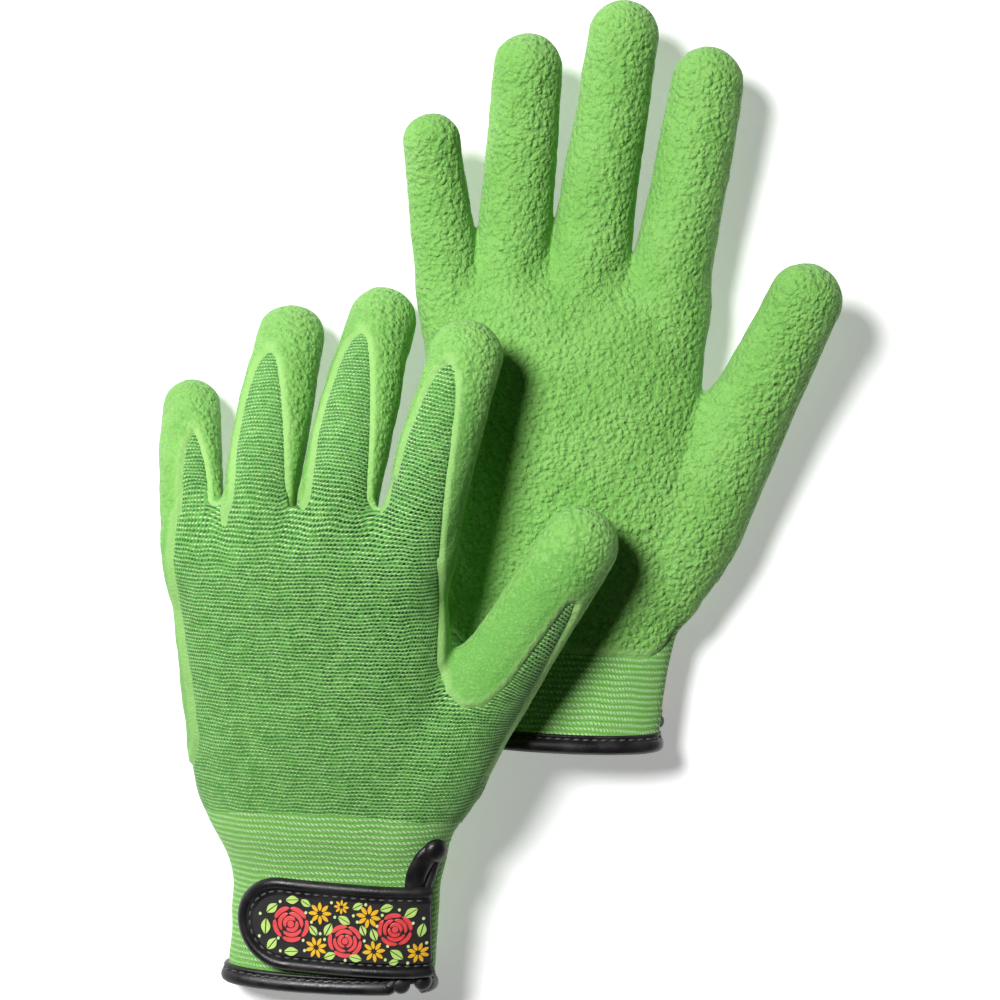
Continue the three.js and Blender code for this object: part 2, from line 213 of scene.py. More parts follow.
class Finger:
    """One finger's middle line, an arc that starts at its root, and the distances from it."""

    def __init__(self, name, glove):
        design = FINGERS[name]
        self.name = name
        self.root = np.array([*design["root"], 0.0])
        if name == "thumb":
            self.root[0] += glove["thumb_out"]
        self.length = design["length"] * glove["reach"][name]
        self.width, self.taper = design["width"], design["taper"]
        self.depth, self.fold = design["depth"], design["fold"]
        heading = math.radians(glove["heading"][name])
        self.tilt = math.radians(glove["tilt"][name])
        self.curl = math.radians(glove["curl"][name])
        self.radius = self.length / self.curl
        self.ahead = np.array([math.sin(heading), math.cos(heading), 0])
        self.side = np.array([math.cos(heading), -math.sin(heading), 0])
        self.tip_half = self.half(self.length)

    def half(self, s):
        s = np.asarray(s, float)
        ahead = self.taper * np.clip(s, 0, None) / self.length
        behind = ROOT_TAPER * (np.clip(s, -self.depth, 0) / self.depth) ** 2
        return self.width / 2 * (1 - ahead - behind)

    def point(self, s):
        slope = self.tilt + self.curl * s / self.length
        run = self.radius * (math.sin(slope) - math.sin(self.tilt))
        rise = self.radius * (math.cos(self.tilt) - math.cos(slope))
        return self.root + self.ahead * run + np.array([0, 0, rise])

    def along(self, s):
        slope = self.tilt + self.curl * s / self.length
        return self.ahead * math.cos(slope) + np.array([0, 0, math.sin(slope)])

    def up(self, s):
        slope = self.tilt + self.curl * s / self.length
        return -self.ahead * math.sin(slope) + np.array([0, 0, math.cos(slope)])

    def pivot(self):
        """The fold's axis: on the finger's middle line, raised towards its upper side."""
        half = float(self.half(self.fold))
        return self.point(self.fold) + self.up(self.fold) * half * ROUNDNESS * FOLD_HEIGHT

    def coordinates(self, p):
        """Across, along and up from the middle line, for points p."""
        q = p - self.root
        across = q @ self.side
        run = q @ self.ahead
        rise = q[..., 2]
        sign = math.copysign(1, self.radius)
        u = run + self.radius * math.sin(self.tilt)
        v = rise - self.radius * math.cos(self.tilt)
        angle = np.arctan2(sign * u, -sign * v)
        s = (angle - self.tilt) * self.radius
        up = self.radius - sign * np.hypot(u, v)
        before = smooth_step(2, -6, s)
        before = np.where(run < -30, 1, before)
        s = s * (1 - before) + run * before
        up = up * (1 - before) + (rise - run * math.tan(self.tilt) * 0.35) * before
        return across, s, up

    def field(self, p):
        across, s, up = self.coordinates(p)
        half = self.half(np.clip(s, None, self.length))
        past = np.clip(s - (self.length - self.tip_half), 0, None)
        back = np.clip(-self.depth - s, 0, None)
        r = np.sqrt(
            (across / half) ** 2
            + (up / (half * ROUNDNESS)) ** 2
            + (past / self.tip_half) ** 2
            + (back / half) ** 2
        )
        return (r - 1) * half * 0.94


class Glove:
    """One glove: its design, the place of its frame, and its field."""

    WEB = 4
    THUMB_WEB = 5

    def __init__(self, name):
        self.name = name
        self.design = GLOVES[name]
        self.back = self.design["back"]
        self.fingers = [Finger(f, self.design) for f in FINGERS]
        self.matrix = self.fit_to_joints()
        self.lumps = Noise(11 if name == "left" else 12)
        self.crinkle = Noise(21 if name == "left" else 22)

    def fit_to_joints(self):
        """The turn and move that bring the design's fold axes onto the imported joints."""
        joints = {j["name"]: j for j in frame["joints"]}
        here = np.array([f.pivot() for f in self.fingers])
        there = np.array(
            [joints[f"{self.name}_{f.name}_fold"]["pos_m"] for f in self.fingers]
        )
        there = there / MM
        here_mid, there_mid = here.mean(0), there.mean(0)
        u, _, vt = np.linalg.svd((here - here_mid).T @ (there - there_mid))
        flip = np.diag([1, 1, np.sign(np.linalg.det(vt.T @ u.T))])
        turn = vt.T @ flip @ u.T
        matrix = np.eye(4)
        matrix[:3, :3] = turn
        matrix[:3, 3] = there_mid - turn @ here_mid
        return matrix

    def place(self, points):
        """Points of the glove's frame, in millimetres, as points of the shared frame, in metres."""
        points = np.asarray(points, float)
        return (points @ self.matrix[:3, :3].T + self.matrix[:3, 3]) * MM

    def turned(self, directions):
        return np.asarray(directions, float) @ self.matrix[:3, :3].T

    def field(self, p):
        """About the distance from the glove's outermost surface, negative inside."""
        fields = [f.field(p) for f in self.fingers]
        palm = p
        if self.name == "right":
            off = (p[..., 1] - HEEL_BULGE["y"]) / HEEL_BULGE["spread"]
            bulge = HEEL_BULGE["out"] * np.exp(-(off**2))
            bulge = bulge * smooth_step(-8, -30, p[..., 0])
            palm = p + bulge[..., None] * np.array([1, 0, 0])
        four = fields[0]
        for other in fields[1:4]:
            four = smooth_min(four, other, 1.2)
        hand = smooth_min(palm_field(palm), four, self.WEB)
        hand = smooth_min(hand, fields[4], self.THUMB_WEB)
        hand = hand + 0.55 * self.lumps(p / 23) + 0.22 * self.lumps(p / 9 + 7)
        if self.name == "right":
            hand = smooth_max(hand, -PRESSED - 0.3 - p[..., 2], 2.5)
        else:
            hand = smooth_max(hand, self.cleft(p, fields[1], fields[2]), 0.6)
        return hand

    def cleft(self, p, ring, middle):
        """Above zero in the narrow gap between the ring and middle fingers, ahead of their web."""
        _, s, _ = self.fingers[1].coordinates(p)
        return CLEFT["width"] - np.abs(ring - middle) - np.clip(CLEFT["start"] - s, 0, None)

    def normals(self, p):
        """The field's slope at points."""
        steps = np.eye(3) * SLOPE_REACH
        g = [self.field(p + s) - self.field(p - s) for s in steps]
        return np.stack(g, -1) / (2 * SLOPE_REACH)

    def settle(self, p, depth=0.0, rounds=3):
        """Moves points onto the surface that lies at a depth below the outermost one."""
        for _ in range(rounds):
            g = self.normals(p)
            size = (g * g).sum(-1, keepdims=True) + 1e-6
            p = p - (self.field(p) + depth)[..., None] * g / size
        return p


# ---- Meshing a field ----


def surface_net(values, low, step):
    """A quad mesh of the zero level of values on a grid: vertices, and quads facing out."""
    inside = values < 0
    size = np.array(values.shape) - 1

    def corner(a, i, j, k):
        return a[i : i + size[0], j : j + size[1], k : k + size[2]]

    count = sum(corner(inside, *c).astype(int) for c in np.ndindex(2, 2, 2))
    mixed = (count > 0) & (count < 8)
    index = np.full(mixed.shape, -1)
    index[mixed] = np.arange(mixed.sum())
    total = np.zeros((mixed.sum(), 3))
    crossings = np.zeros(mixed.sum())
    for axis in range(3):
        others = [k for k in range(3) if k != axis]
        for offsets in np.ndindex(2, 2):
            start = [0, 0, 0]
            start[others[0]], start[others[1]] = offsets
            end = list(start)
            end[axis] = 1
            a, b = corner(values, *start)[mixed], corner(values, *end)[mixed]
            crosses = (a < 0) != (b < 0)
            t = np.where(crosses, a / np.where(crosses, a - b, 1), 0)
            at = np.tile(np.array(start, float), (len(a), 1))
            at[:, axis] += t
            total += at * crosses[:, None]
            crossings += crosses
    cells = np.argwhere(mixed)
    vertices = low + (cells + total / crossings[:, None]) * step
    quads = []
    for axis in range(3):
        b, c = (axis + 1) % 3, (axis + 2) % 3
        shape = [slice(None)] * 3
        first, second = list(shape), list(shape)
        first[axis], second[axis] = slice(None, -1), slice(1, None)
        crosses = inside[tuple(first)] != inside[tuple(second)]
        edges = np.argwhere(crosses)
        edges = edges[(edges[:, b] > 0) & (edges[:, c] > 0)]
        edges = edges[(edges[:, b] < size[b]) & (edges[:, c] < size[c])]
        out = inside[tuple(edges.T)]
        ring = []
        for db, dc in ((1, 1), (0, 1), (0, 0), (1, 0)):
            cell = edges.copy()
            cell[:, b] -= db
            cell[:, c] -= dc
            ring.append(index[tuple(cell.T)])
        ring = np.stack(ring, 1)
        ring[~out] = ring[~out][:, ::-1]
        quads.append(ring)
    return vertices, np.vstack(quads)


def mesh_glove(glove, depth, step):
    """The whole surface of a glove at a depth below its outermost one, in the glove's frame."""
    low, high = MESH_BOX[glove.name]
    counts = np.ceil((high - low) / step).astype(int) + 1
    axes = [low[k] + step * np.arange(counts[k]) for k in range(3)]
    values = np.empty(counts)
    for start in range(0, counts[1], 40):
        rows = axes[1][start : start + 40]
        grid = np.stack(np.meshgrid(axes[0], rows, axes[2], indexing="ij"), -1)
        values[:, start : start + 40] = glove.field(grid) + depth
    vertices, quads = surface_net(values, low, step)
    return glove.settle(vertices, depth, 2), quads


def vertex_normals(vertices, quads):
    a, b, c, d = (vertices[quads[:, k]] for k in range(4))
    face = np.cross(c - a, d - b)
    total = np.zeros_like(vertices)
    for k in range(4):
        np.add.at(total, quads[:, k], face)
    return unit(total)


# ---- Making objects ----


def new_object(name, vertices, faces, material, smooth=True):
    """A mesh object from vertices in metres."""
    mesh = bpy.data.meshes.new(name)
    mesh.from_pydata(np.asarray(vertices).tolist(), [], [list(map(int, f)) for f in faces])
    mesh.polygons.foreach_set("use_smooth", [smooth] * len(mesh.polygons))
    mesh.materials.append(material)
    mesh.update()
    obj = bpy.data.objects.new(name, mesh)
    bpy.context.scene.collection.objects.link(obj)
    return obj


def store(obj, name, values):
    """A value or a vector for each vertex, which materials read by name."""
    values = np.asarray(values, np.float32)
    if values.ndim == 1:
        layer = obj.data.attributes.new(name, "FLOAT", "POINT")
        layer.data.foreach_set("value", values)
    else:
        layer = obj.data.attributes.new(name, "FLOAT_VECTOR", "POINT")
        layer.data.foreach_set("vector", values.ravel())


def keep_faces(chosen, quads):
    """The vertices that the chosen faces use, and the faces renumbered to them."""
    faces = quads[chosen]
    used = np.unique(faces)
    number = np.full(quads.max() + 1, -1)
    number[used] = np.arange(len(used))
    return used, number[faces]


# ---- Where the coat and the knit show ----

# outline of the bare knit on the back of the hand, seen from above, thumb side last
BARE_HAND = np.array(
    [
        (-50, 40), (-44, 72), (-40, 84), (-42, 104), (-45, 124), (-47.5, 142), (-47, 156),
        (-33.5, 162), (-32, 155.5), (-29.9, 152.4), (-28, 155), (-26.5, 168), (-9.5, 170),
        (-8.4, 162), (-6, 159.2), (-4, 162), (-2.5, 170), (15, 170), (16.4, 161.5),
        (18.7, 159.2), (20.8, 162), (22, 170), (36, 168), (38.5, 140), (38, 112), (40.5, 103),
        (46, 98.5), (53, 99.5), (60, 106), (78, 131), (80.5, 131), (79, 126), (62, 92),
        (48, 66), (44, 40),
    ],
    float,
)
# where the coat starts, in millimetres from the hem: on the palm, and at the hand's sides
COAT_START = 31
COAT_SIDE_START = 74
# along the bare tongue of a finger: share of the way to its point, then its two edges' angles
# round the finger from the middle of its back, towards the thumb
MIDDLE_TONGUE = [
    (-0.4, -60, 76), (0.1, -40, 70), (0.2, -37, 59), (0.32, -42, 48), (0.5, -52, 36),
    (0.64, -52, 26), (0.78, -49, 15), (0.9, -44, 3), (0.97, -34, -7), (1, -20, -19),
]
INDEX_TONGUE = [
    (-0.4, -62, 58), (0.1, -60, 45), (0.38, -58, 31), (0.6, -56, 22), (0.8, -49, 12),
    (0.91, -40, 3), (0.97, -31, -5), (1, -17, -16),
]
LITTLE_TONGUE = [
    (-0.4, -14, 56), (0, -10, 47), (0.36, -6, 48), (0.55, -2, 51), (0.7, 2, 47), (0.84, 8, 39),
    (0.95, 16, 31), (1, 24, 25),
]
# each bare tongue's edges, and how far its point stops short of the fingertip
TONGUES = {
    "little": (np.array(LITTLE_TONGUE), 26),
    "ring": (np.array(MIDDLE_TONGUE), 23),
    "middle": (np.array(MIDDLE_TONGUE), 23.5),
    "index": (np.array(INDEX_TONGUE), 17),
}


def polygon_distance(points, outline):
    """Distance inside a polygon's edge, negative outside."""
    best = np.full(len(points), np.inf)
    crossings = np.zeros(len(points), int)
    for a, b in zip(outline, np.roll(outline, -1, axis=0)):
        edge = b - a
        to = points - a
        t = np.clip((to @ edge) / (edge @ edge), 0, 1)
        best = np.minimum(best, np.linalg.norm(to - t[:, None] * edge, axis=1))
        spans = (a[1] > points[:, 1]) != (b[1] > points[:, 1])
        with np.errstate(divide="ignore", invalid="ignore"):
            x = a[0] + (points[:, 1] - a[1]) / (b[1] - a[1]) * edge[0]
        crossings += spans & (points[:, 0] < x)
    return np.where(crossings % 2 == 1, best, -best)


def bareness(glove, p):
    """How far each surface point is inside the bare knit, in millimetres, negative on the coat."""
    back_height = p[:, 2] * glove.back
    hand = np.minimum(polygon_distance(p[:, :2], BARE_HAND), back_height + 1)
    bare = hand
    for finger in glove.fingers[:4]:
        across, s, up = finger.coordinates(p)
        width = finger.half(s)
        angle = np.degrees(np.arctan2(across, up * glove.back / ROUNDNESS))
        table, short = TONGUES[finger.name]
        point_at = finger.length - short
        share = s / point_at
        low = np.interp(share, table[:, 0], table[:, 1])
        high = np.interp(share, table[:, 0], table[:, 2])
        side = np.minimum(angle - low, high - angle) * np.radians(1) * width
        tongue = np.minimum(side, (point_at - s) * 0.8)
        tongue = np.where((finger.field(p) < 3) & (s > 2), tongue, -9)
        bare = np.maximum(bare, tongue)
    rise = smooth_step(-8, 2, back_height)
    front = COAT_START + (COAT_SIDE_START - COAT_START) * rise
    wrist = np.where(back_height < 4, front - p[:, 1], COAT_SIDE_START - 2 - p[:, 1])
    _, thumb_s, _ = glove.fingers[4].coordinates(p)
    wrist = np.where((glove.fingers[4].field(p) < 2) & (thumb_s > 8), wrist - 8, wrist)
    return np.maximum(bare, wrist)


WALE_FINE, WALE_WIDE = 1.18, 1.42
COURSE = 1.2


def knit_coordinates(glove, p):
    """Counts of wales and courses over the knit, which follows the hand and each finger.

    The third value is how far the knit is stretched open, from 0 to 1.
    """
    back_height = p[:, 2] * glove.back
    shift, half, thick = section_at(p[:, 1])
    out = (p[:, 0] - shift) / half
    wrap = np.sign(out) * (thick - back_height) * np.clip(np.abs(out), 0, 1.2) ** 3
    u, v = p[:, 0] + wrap, p[:, 1].copy()
    for finger in glove.fingers:
        across, s, up = finger.coordinates(p)
        width = finger.half(s)
        angle = np.arctan2(across, up * glove.back)
        finger_u = finger.root[0] + angle * width * 0.93
        finger_v = finger.root[1] + s
        reach = smooth_step(6, 1, finger.field(p))
        share = smooth_step(-4, 22, s) if finger.name != "thumb" else smooth_step(14, 46, s)
        share = share * reach
        u = u * (1 - share) + finger_u * share
        v = v * (1 - share) + finger_v * share
    places = np.linspace(-90, 90, 361)
    pitch = WALE_FINE + (WALE_WIDE - WALE_FINE) * smooth_step(-20, 34, places)
    counts = np.concatenate([[0], np.cumsum(np.diff(places) / pitch[1:])])
    stretch = smooth_step(-48, 36, u) * 0.6 + smooth_step(60, 130, v) * 0.4
    stretch = stretch * (1 - 0.6 * smooth_step(155, 195, v))
    return np.interp(u, places, counts), v / COURSE, stretch


def hem_line(x, z=0.0):
    """How far the hem lies along the glove; it leans up towards the glove's upper side."""
    t = (x + 60) / 120
    return HEM_RISE - 4 * HEM_BULGE * t * (1 - t) + HEM_LEAN * z


def cuff_top(x):
    return CUFF_TOP - CUFF_TOP_BEND * x**2


SLIT_LEFT_EDGE = np.array([(26, -3), (27, 14), (29, 32), (32.4, 47)], float)
SLIT_RIGHT_EDGE = np.array([(30.5, -3), (31.4, 14), (32.8, 32), (34.6, 47)], float)


def in_slit(glove, p):
    """Whether points lie in the open slit on the thumb side of the cuff's back."""
    left = np.interp(p[:, 1], SLIT_LEFT_EDGE[:, 1], SLIT_LEFT_EDGE[:, 0])
    right = np.interp(p[:, 1], SLIT_RIGHT_EDGE[:, 1], SLIT_RIGHT_EDGE[:, 0])
    across = (p[:, 0] > left) & (p[:, 0] < right)
    return across & (p[:, 1] < SLIT_LEFT_EDGE[-1, 1]) & (p[:, 2] * glove.back > 0)


# ---- Materials ----


class Nodes:
    """A material's node tree, with one short method for each kind of node."""

    def __init__(self, name):
        self.material = bpy.data.materials.new(name)
        self.material.use_nodes = True
        self.tree = self.material.node_tree
        self.tree.nodes.clear()
        self.shader = self.add("ShaderNodeBsdfPrincipled")
        output = self.add("ShaderNodeOutputMaterial")
        self.link(self.shader.outputs[0], output.inputs[0])

    def add(self, kind, **settings):
        node = self.tree.nodes.new(kind)
        for key, value in settings.items():
            setattr(node, key, value)
        return node

    def link(self, a, b):
        self.tree.links.new(a, b)

    def feed(self, socket, value):
        if isinstance(value, bpy.types.NodeSocket):
            self.link(value, socket)
        else:
            socket.default_value = value

    def attribute(self, name, output="Fac"):
        return self.add("ShaderNodeAttribute", attribute_name=name).outputs[output]

    def math(self, operation, a, b=0.0, c=0.0):
        node = self.add("ShaderNodeMath", operation=operation)
        for socket, value in zip(node.inputs, (a, b, c)):
            self.feed(socket, value)
        return node.outputs[0]

    def times(self, a, b):
        return self.math("MULTIPLY", a, b)

    def ramp(self, value, low, high, out_low=0.0, out_high=1.0):
        node = self.add("ShaderNodeMapRange", interpolation_type="SMOOTHSTEP")
        for socket, v in zip(node.inputs, (value, low, high, out_low, out_high)):
            self.feed(socket, v)
        return node.outputs[0]

    def mix(self, share, a, b):
        node = self.add("ShaderNodeMix", data_type="RGBA")
        self.feed(node.inputs[0], share)
        self.feed(node.inputs[6], a)
        self.feed(node.inputs[7], b)
        return node.outputs[2]

    def noise(self, vector, scale, detail=2.0, roughness=0.5):
        node = self.add("ShaderNodeTexNoise", noise_type="FBM")
        self.link(vector, node.inputs["Vector"])
        node.inputs["Scale"].default_value = scale
        node.inputs["Detail"].default_value = detail
        node.inputs["Roughness"].default_value = roughness
        return node.outputs[0]

    def blend(self, share, a, b):
        node = self.add("ShaderNodeMix", data_type="FLOAT")
        for socket, value in zip((node.inputs[0], node.inputs[2], node.inputs[3]), (share, a, b)):
            self.feed(socket, value)
        return node.outputs[0]

    def warp(self, vector, scale, reach):
        """The vector moved about by noise, by up to half of reach."""
        noise = self.add("ShaderNodeTexNoise")
        self.link(vector, noise.inputs["Vector"])
        noise.inputs["Scale"].default_value = scale
        moved = self.add("ShaderNodeVectorMath", operation="MULTIPLY_ADD")
        self.link(noise.outputs["Color"], moved.inputs[0])
        moved.inputs[1].default_value = (reach,) * 3
        self.link(vector, moved.inputs[2])
        return moved.outputs[0]

    def stitch_cell(self, wales, courses, wander):
        """Places within a stitch from -0.5 to 0.5, every other row set over by half, and two
        numbers from 0 to 1 of its own."""
        rest = self.attribute("rest", "Vector")
        sway = self.times(self.math("SUBTRACT", self.noise(rest, 0.3, 2), 0.5), wander * 4)
        rise = self.times(self.math("SUBTRACT", self.noise(rest, 0.12, 2), 0.5), wander * 8)
        wales = self.math("ADD", wales, sway)
        courses = self.math("ADD", courses, rise)
        row = self.math("FLOOR", courses)
        shifted = self.math("MULTIPLY_ADD", self.math("MODULO", row, 2), 0.5, wales)
        cell = self.add("ShaderNodeCombineXYZ")
        self.link(self.math("FLOOR", shifted), cell.inputs[0])
        self.link(row, cell.inputs[1])
        own = self.add("ShaderNodeTexWhiteNoise", noise_dimensions="3D")
        self.link(cell.outputs[0], own.inputs[0])
        parts = self.add("ShaderNodeSeparateColor")
        self.link(own.outputs["Color"], parts.inputs[0])
        a = self.math("SUBTRACT", self.math("FRACT", shifted), 0.5)
        b = self.math("SUBTRACT", self.math("FRACT", courses), 0.5)
        return a, b, parts.outputs[0], parts.outputs[1]

    def dash(self, a, b, slant, half_long, half_wide):
        """A short slanted stroke in the middle of a stitch."""
        c, s = math.cos(slant), math.sin(slant)
        along = self.math("MULTIPLY_ADD", b, s, self.times(a, c))
        across = self.math("MULTIPLY_ADD", b, c, self.times(a, -s))
        return self.oval(along, across, half_long, half_wide)

    def oval(self, a, b, half_a, half_b):
        """1 in the middle of an oval, falling to 0 a little past its edge."""
        a = self.math("POWER", self.math("ABSOLUTE", self.math("DIVIDE", a, half_a)), 2)
        b = self.math("POWER", self.math("ABSOLUTE", self.math("DIVIDE", b, half_b)), 2)
        return self.ramp(self.math("ADD", a, b), 1.35, 0.35)

    def bump(self, height, distance, strength=1.0):
        node = self.add("ShaderNodeBump")
        self.link(height, node.inputs["Height"])
        node.inputs["Distance"].default_value = distance
        node.inputs["Strength"].default_value = strength
        self.link(node.outputs[0], self.shader.inputs["Normal"])

    def set(self, **values):
        for name, value in values.items():
            self.feed(self.shader.inputs[name.replace("_", " ")], value)


def srgb(r, g, b):
    """A colour given in sRGB steps from 0 to 255, as linear RGBA."""
    linear = [((v / 255 + 0.055) / 1.055) ** 2.4 if v > 10 else v / 255 / 12.92 for v in (r, g, b)]
    return (*linear, 1.0)


def latex_material():
    """Matt foam latex with a crinkled finish, smoother and paler where it thins out on the back."""
    m = Nodes("latex")
    rest = m.attribute("rest", "Vector")
    bare = m.attribute("bare")
    crinkle = m.attribute("crinkle")
    warped = m.warp(rest, 0.45, 1.6)
    cells = m.add("ShaderNodeTexVoronoi", feature="SMOOTH_F1")
    m.link(warped, cells.inputs["Vector"])
    cells.inputs["Scale"].default_value = 0.56
    cells.inputs["Smoothness"].default_value = 0.35
    domes = m.ramp(cells.outputs["Distance"], 0.75, 0.1)
    ridges = m.noise(rest, 0.5, 2.5, 0.55)
    grain = m.noise(rest, 1.5, 3, 0.6)
    shades = m.noise(rest, 0.05, 3)
    relief = m.math("MULTIPLY_ADD", domes, 0.42, m.times(ridges, 0.85))
    relief = m.times(relief, crinkle)
    thin = m.ramp(bare, -5.0, -0.6)
    smooth = m.math("SUBTRACT", 1.0, m.times(thin, 0.7))
    height = m.math("MULTIPLY_ADD", grain, 0.28, m.times(relief, smooth))
    m.bump(height, 1.25 * MM)
    colour = m.mix(m.ramp(shades, 0.35, 0.65), srgb(118, 180, 82), srgb(130, 190, 94))
    # painted shade: the latex is darkened to a deep green in the crinkle's creases, where shade falls
    crease_shade = m.times(m.ramp(relief, 0.5, 0.22), 0.5)
    colour = m.mix(crease_shade, colour, srgb(72, 146, 52))
    colour = m.mix(m.ramp(grain, 0.45, 0.68, 0.0, 0.4), colour, srgb(156, 208, 112))
    colour = m.mix(m.times(m.ramp(bare, -3.4, -0.4), 0.55), colour, srgb(166, 212, 128))
    m.set(Base_Color=colour, Roughness=0.7, Specular_IOR_Level=0.3)
    m.set(Sheen_Weight=0.12, Sheen_Roughness=0.5)
    return m.material


STITCH_SLANT = math.radians(27)


def knit_material():
    """Fine knit: painted shade darkening the gaps in alternating rows, and painted highlights paling
    the slanted threads between them.
    """
    m = Nodes("knit")
    rest = m.attribute("rest", "Vector")
    stretch = m.attribute("stretch")
    wales, courses = m.attribute("wales"), m.attribute("courses")
    a, b, shade, _ = m.stitch_cell(wales, courses, 0.2)
    gap = m.dash(a, b, STITCH_SLANT, 0.48, 0.29)
    a, b, _, fleck_shade = m.stitch_cell(
        m.math("ADD", wales, 0.1), m.math("ADD", courses, 0.5), 0.2
    )
    thread = m.dash(a, b, STITCH_SLANT, 0.42, 0.19)
    open_gap = m.math("MULTIPLY_ADD", stretch, 0.55, 0.5)
    gap = m.times(m.times(gap, open_gap), m.ramp(shade, 0.0, 0.8, 0.6, 1.0))
    thread = m.times(thread, m.ramp(fleck_shade, 0.1, 0.9, 0.25, 1.0))
    marl = m.noise(rest, 0.22, 3)
    fuzz = m.noise(rest, 2.6, 2.5, 0.65)
    base = m.mix(m.ramp(marl, 0.38, 0.62), srgb(80, 156, 70), srgb(104, 178, 88))
    base = m.mix(m.ramp(fuzz, 0.35, 0.7, 0.0, 0.6), base, srgb(138, 196, 92))
    # painted highlight: the raised slanted threads are paled towards a whitish green where light
    # catches them
    colour = m.mix(m.times(thread, 0.85), base, srgb(204, 238, 168))
    # painted shade: the gaps between stitches take a near-black green for the shade inside them, darker
    # where the knit is stretched open
    colour = m.mix(m.times(gap, 0.95), colour, srgb(8, 50, 24))
    height = m.math("MULTIPLY_ADD", thread, 0.8, m.times(fuzz, 0.4))
    height = m.math("SUBTRACT", height, gap)

    c, d, bead_shade, _ = m.stitch_cell(
        m.times(wales, 0.87),
        m.times(courses, COURSE / 1.93),
        0.1,
    )
    bead = m.oval(m.math("MULTIPLY_ADD", d, 0.5, c), m.math("MULTIPLY_ADD", c, 0.35, d), 0.38, 0.18)
    bead = m.times(bead, m.ramp(bead_shade, 0.0, 0.8, 0.6, 1.0))
    # painted shade: a darker green in the grooves between the cuff's rows of beads and between the
    # beads
    row_gap_shade = m.ramp(m.math("ABSOLUTE", d), 0.3, 0.5)
    row_gap_shade = m.times(row_gap_shade, m.ramp(m.math("ABSOLUTE", c), 0.1, 0.45, 0.15, 0.75))
    row_gap_shade = m.times(row_gap_shade, m.ramp(stretch, 0.0, 0.5, 0.35, 1.0))
    cuff = m.mix(m.ramp(fuzz, 0.35, 0.65), srgb(98, 172, 70), srgb(140, 200, 98))
    cuff = m.mix(row_gap_shade, cuff, srgb(40, 112, 50))
    cuff = m.mix(m.times(bead, 0.9), cuff, srgb(216, 240, 198))
    cuff_height = m.math("MULTIPLY_ADD", bead, 1.2, m.times(fuzz, 0.4))
    in_cuff = m.ramp(m.attribute("in_cuff"), -0.3, 0.3)
    m.bump(m.blend(in_cuff, height, cuff_height), 0.3 * MM)
    m.set(Base_Color=m.mix(in_cuff, colour, cuff), Roughness=0.9, Specular_IOR_Level=0.2)
    m.set(Sheen_Weight=0.2, Sheen_Roughness=0.45)
    return m.material


def leather_material():
    """Black coated tape with a fine grain and a soft gloss."""
    m = Nodes("binding")
    rest = m.attribute("rest", "Vector")
    grain = m.noise(rest, 2.2, 2, 0.5)
    wear = m.noise(rest, 0.12, 3)
    colour = m.mix(m.ramp(wear, 0.35, 0.7), srgb(20, 19, 21), srgb(38, 36, 38))
    m.bump(grain, 0.12 * MM, 0.8)
    m.set(Base_Color=colour, Roughness=m.ramp(wear, 0.3, 0.7, 0.32, 0.5))
    return m.material


def plain_material(name, dark, light, roughness, scale=1.5, bump=0.1):
    """A matt moulded or woven surface with a little unevenness in colour and relief."""
    m = Nodes(name)
    rest = m.attribute("rest", "Vector")
    spots = m.noise(rest, scale, 3)
    broad = m.noise(rest, scale / 12, 2)
    colour = m.mix(m.ramp(spots, 0.3, 0.7, 0.0, 0.5), srgb(*dark), srgb(*light))
    colour = m.mix(m.ramp(broad, 0.35, 0.65, 0.0, 0.5), colour, srgb(*light))
    m.bump(spots, bump * MM)
    m.set(Base_Color=colour, Roughness=roughness)
    return m.material


LATEX = latex_material()
KNIT = knit_material()
LEATHER = leather_material()
THREAD = plain_material("thread", (52, 51, 52), (92, 90, 90), 0.55, 4, 0.05)
PATCH = plain_material("patch", (30, 30, 31), (44, 43, 44), 0.62, 2.5, 0.06)
HOOKS = plain_material("hooks", (10, 10, 11), (30, 30, 31), 0.95, 3, 0.5)
ROSE = plain_material("rose", (226, 62, 66), (242, 96, 98), 0.55, 0.8, 0.05)
DAISY = plain_material("daisy", (236, 178, 34), (250, 206, 60), 0.55, 0.8, 0.05)
LEAF = plain_material("leaf", (184, 222, 108), (208, 238, 140), 0.55, 0.8, 0.05)
DOT = plain_material("dot", (206, 232, 150), (226, 244, 190), 0.55, 0.8, 0.05)


# ---- The hand: knit and coat ----


def piece_of(glove, name, vertices, normals, faces, used, material, layers):
    """One piece of a glove's skin, from a part of its mesh, with the whole mesh's shading."""
    obj = new_object(name, glove.place(vertices[used]), faces, material)
    for layer, values in layers.items():
        store(obj, layer, values[used])
    obj.data.normals_split_custom_set_from_vertices(glove.turned(normals[used]).tolist())
    return obj


# Where each finger's piece parts from the palm: just past the webs beside it, so that the webs stay
# whole.
BENDS_FROM = dict(
    left=dict(little=18.5, ring=17.5, middle=15.5, index=14, thumb=41.5),
    right=dict(little=24.5, ring=29.5, middle=27, index=20.5, thumb=45),
)
BEND_LENGTH = 23


def blend_range(glove, finger):
    start = BENDS_FROM[glove.name][finger.name]
    return start, start + BEND_LENGTH


def owners(glove, p):
    """For points, the number of the finger whose piece they belong to, or -1 for the palm."""
    owner = np.full(len(p), -1)
    best = palm_field(p)
    for i, finger in enumerate(glove.fingers):
        _, s, _ = finger.coordinates(p)
        field = finger.field(p)
        mine = (field < best) & (s > blend_range(glove, finger)[0])
        best = np.where(field < best, field, best)
        owner = np.where(mine, i, np.where(field <= best, -1, owner))
    return owner


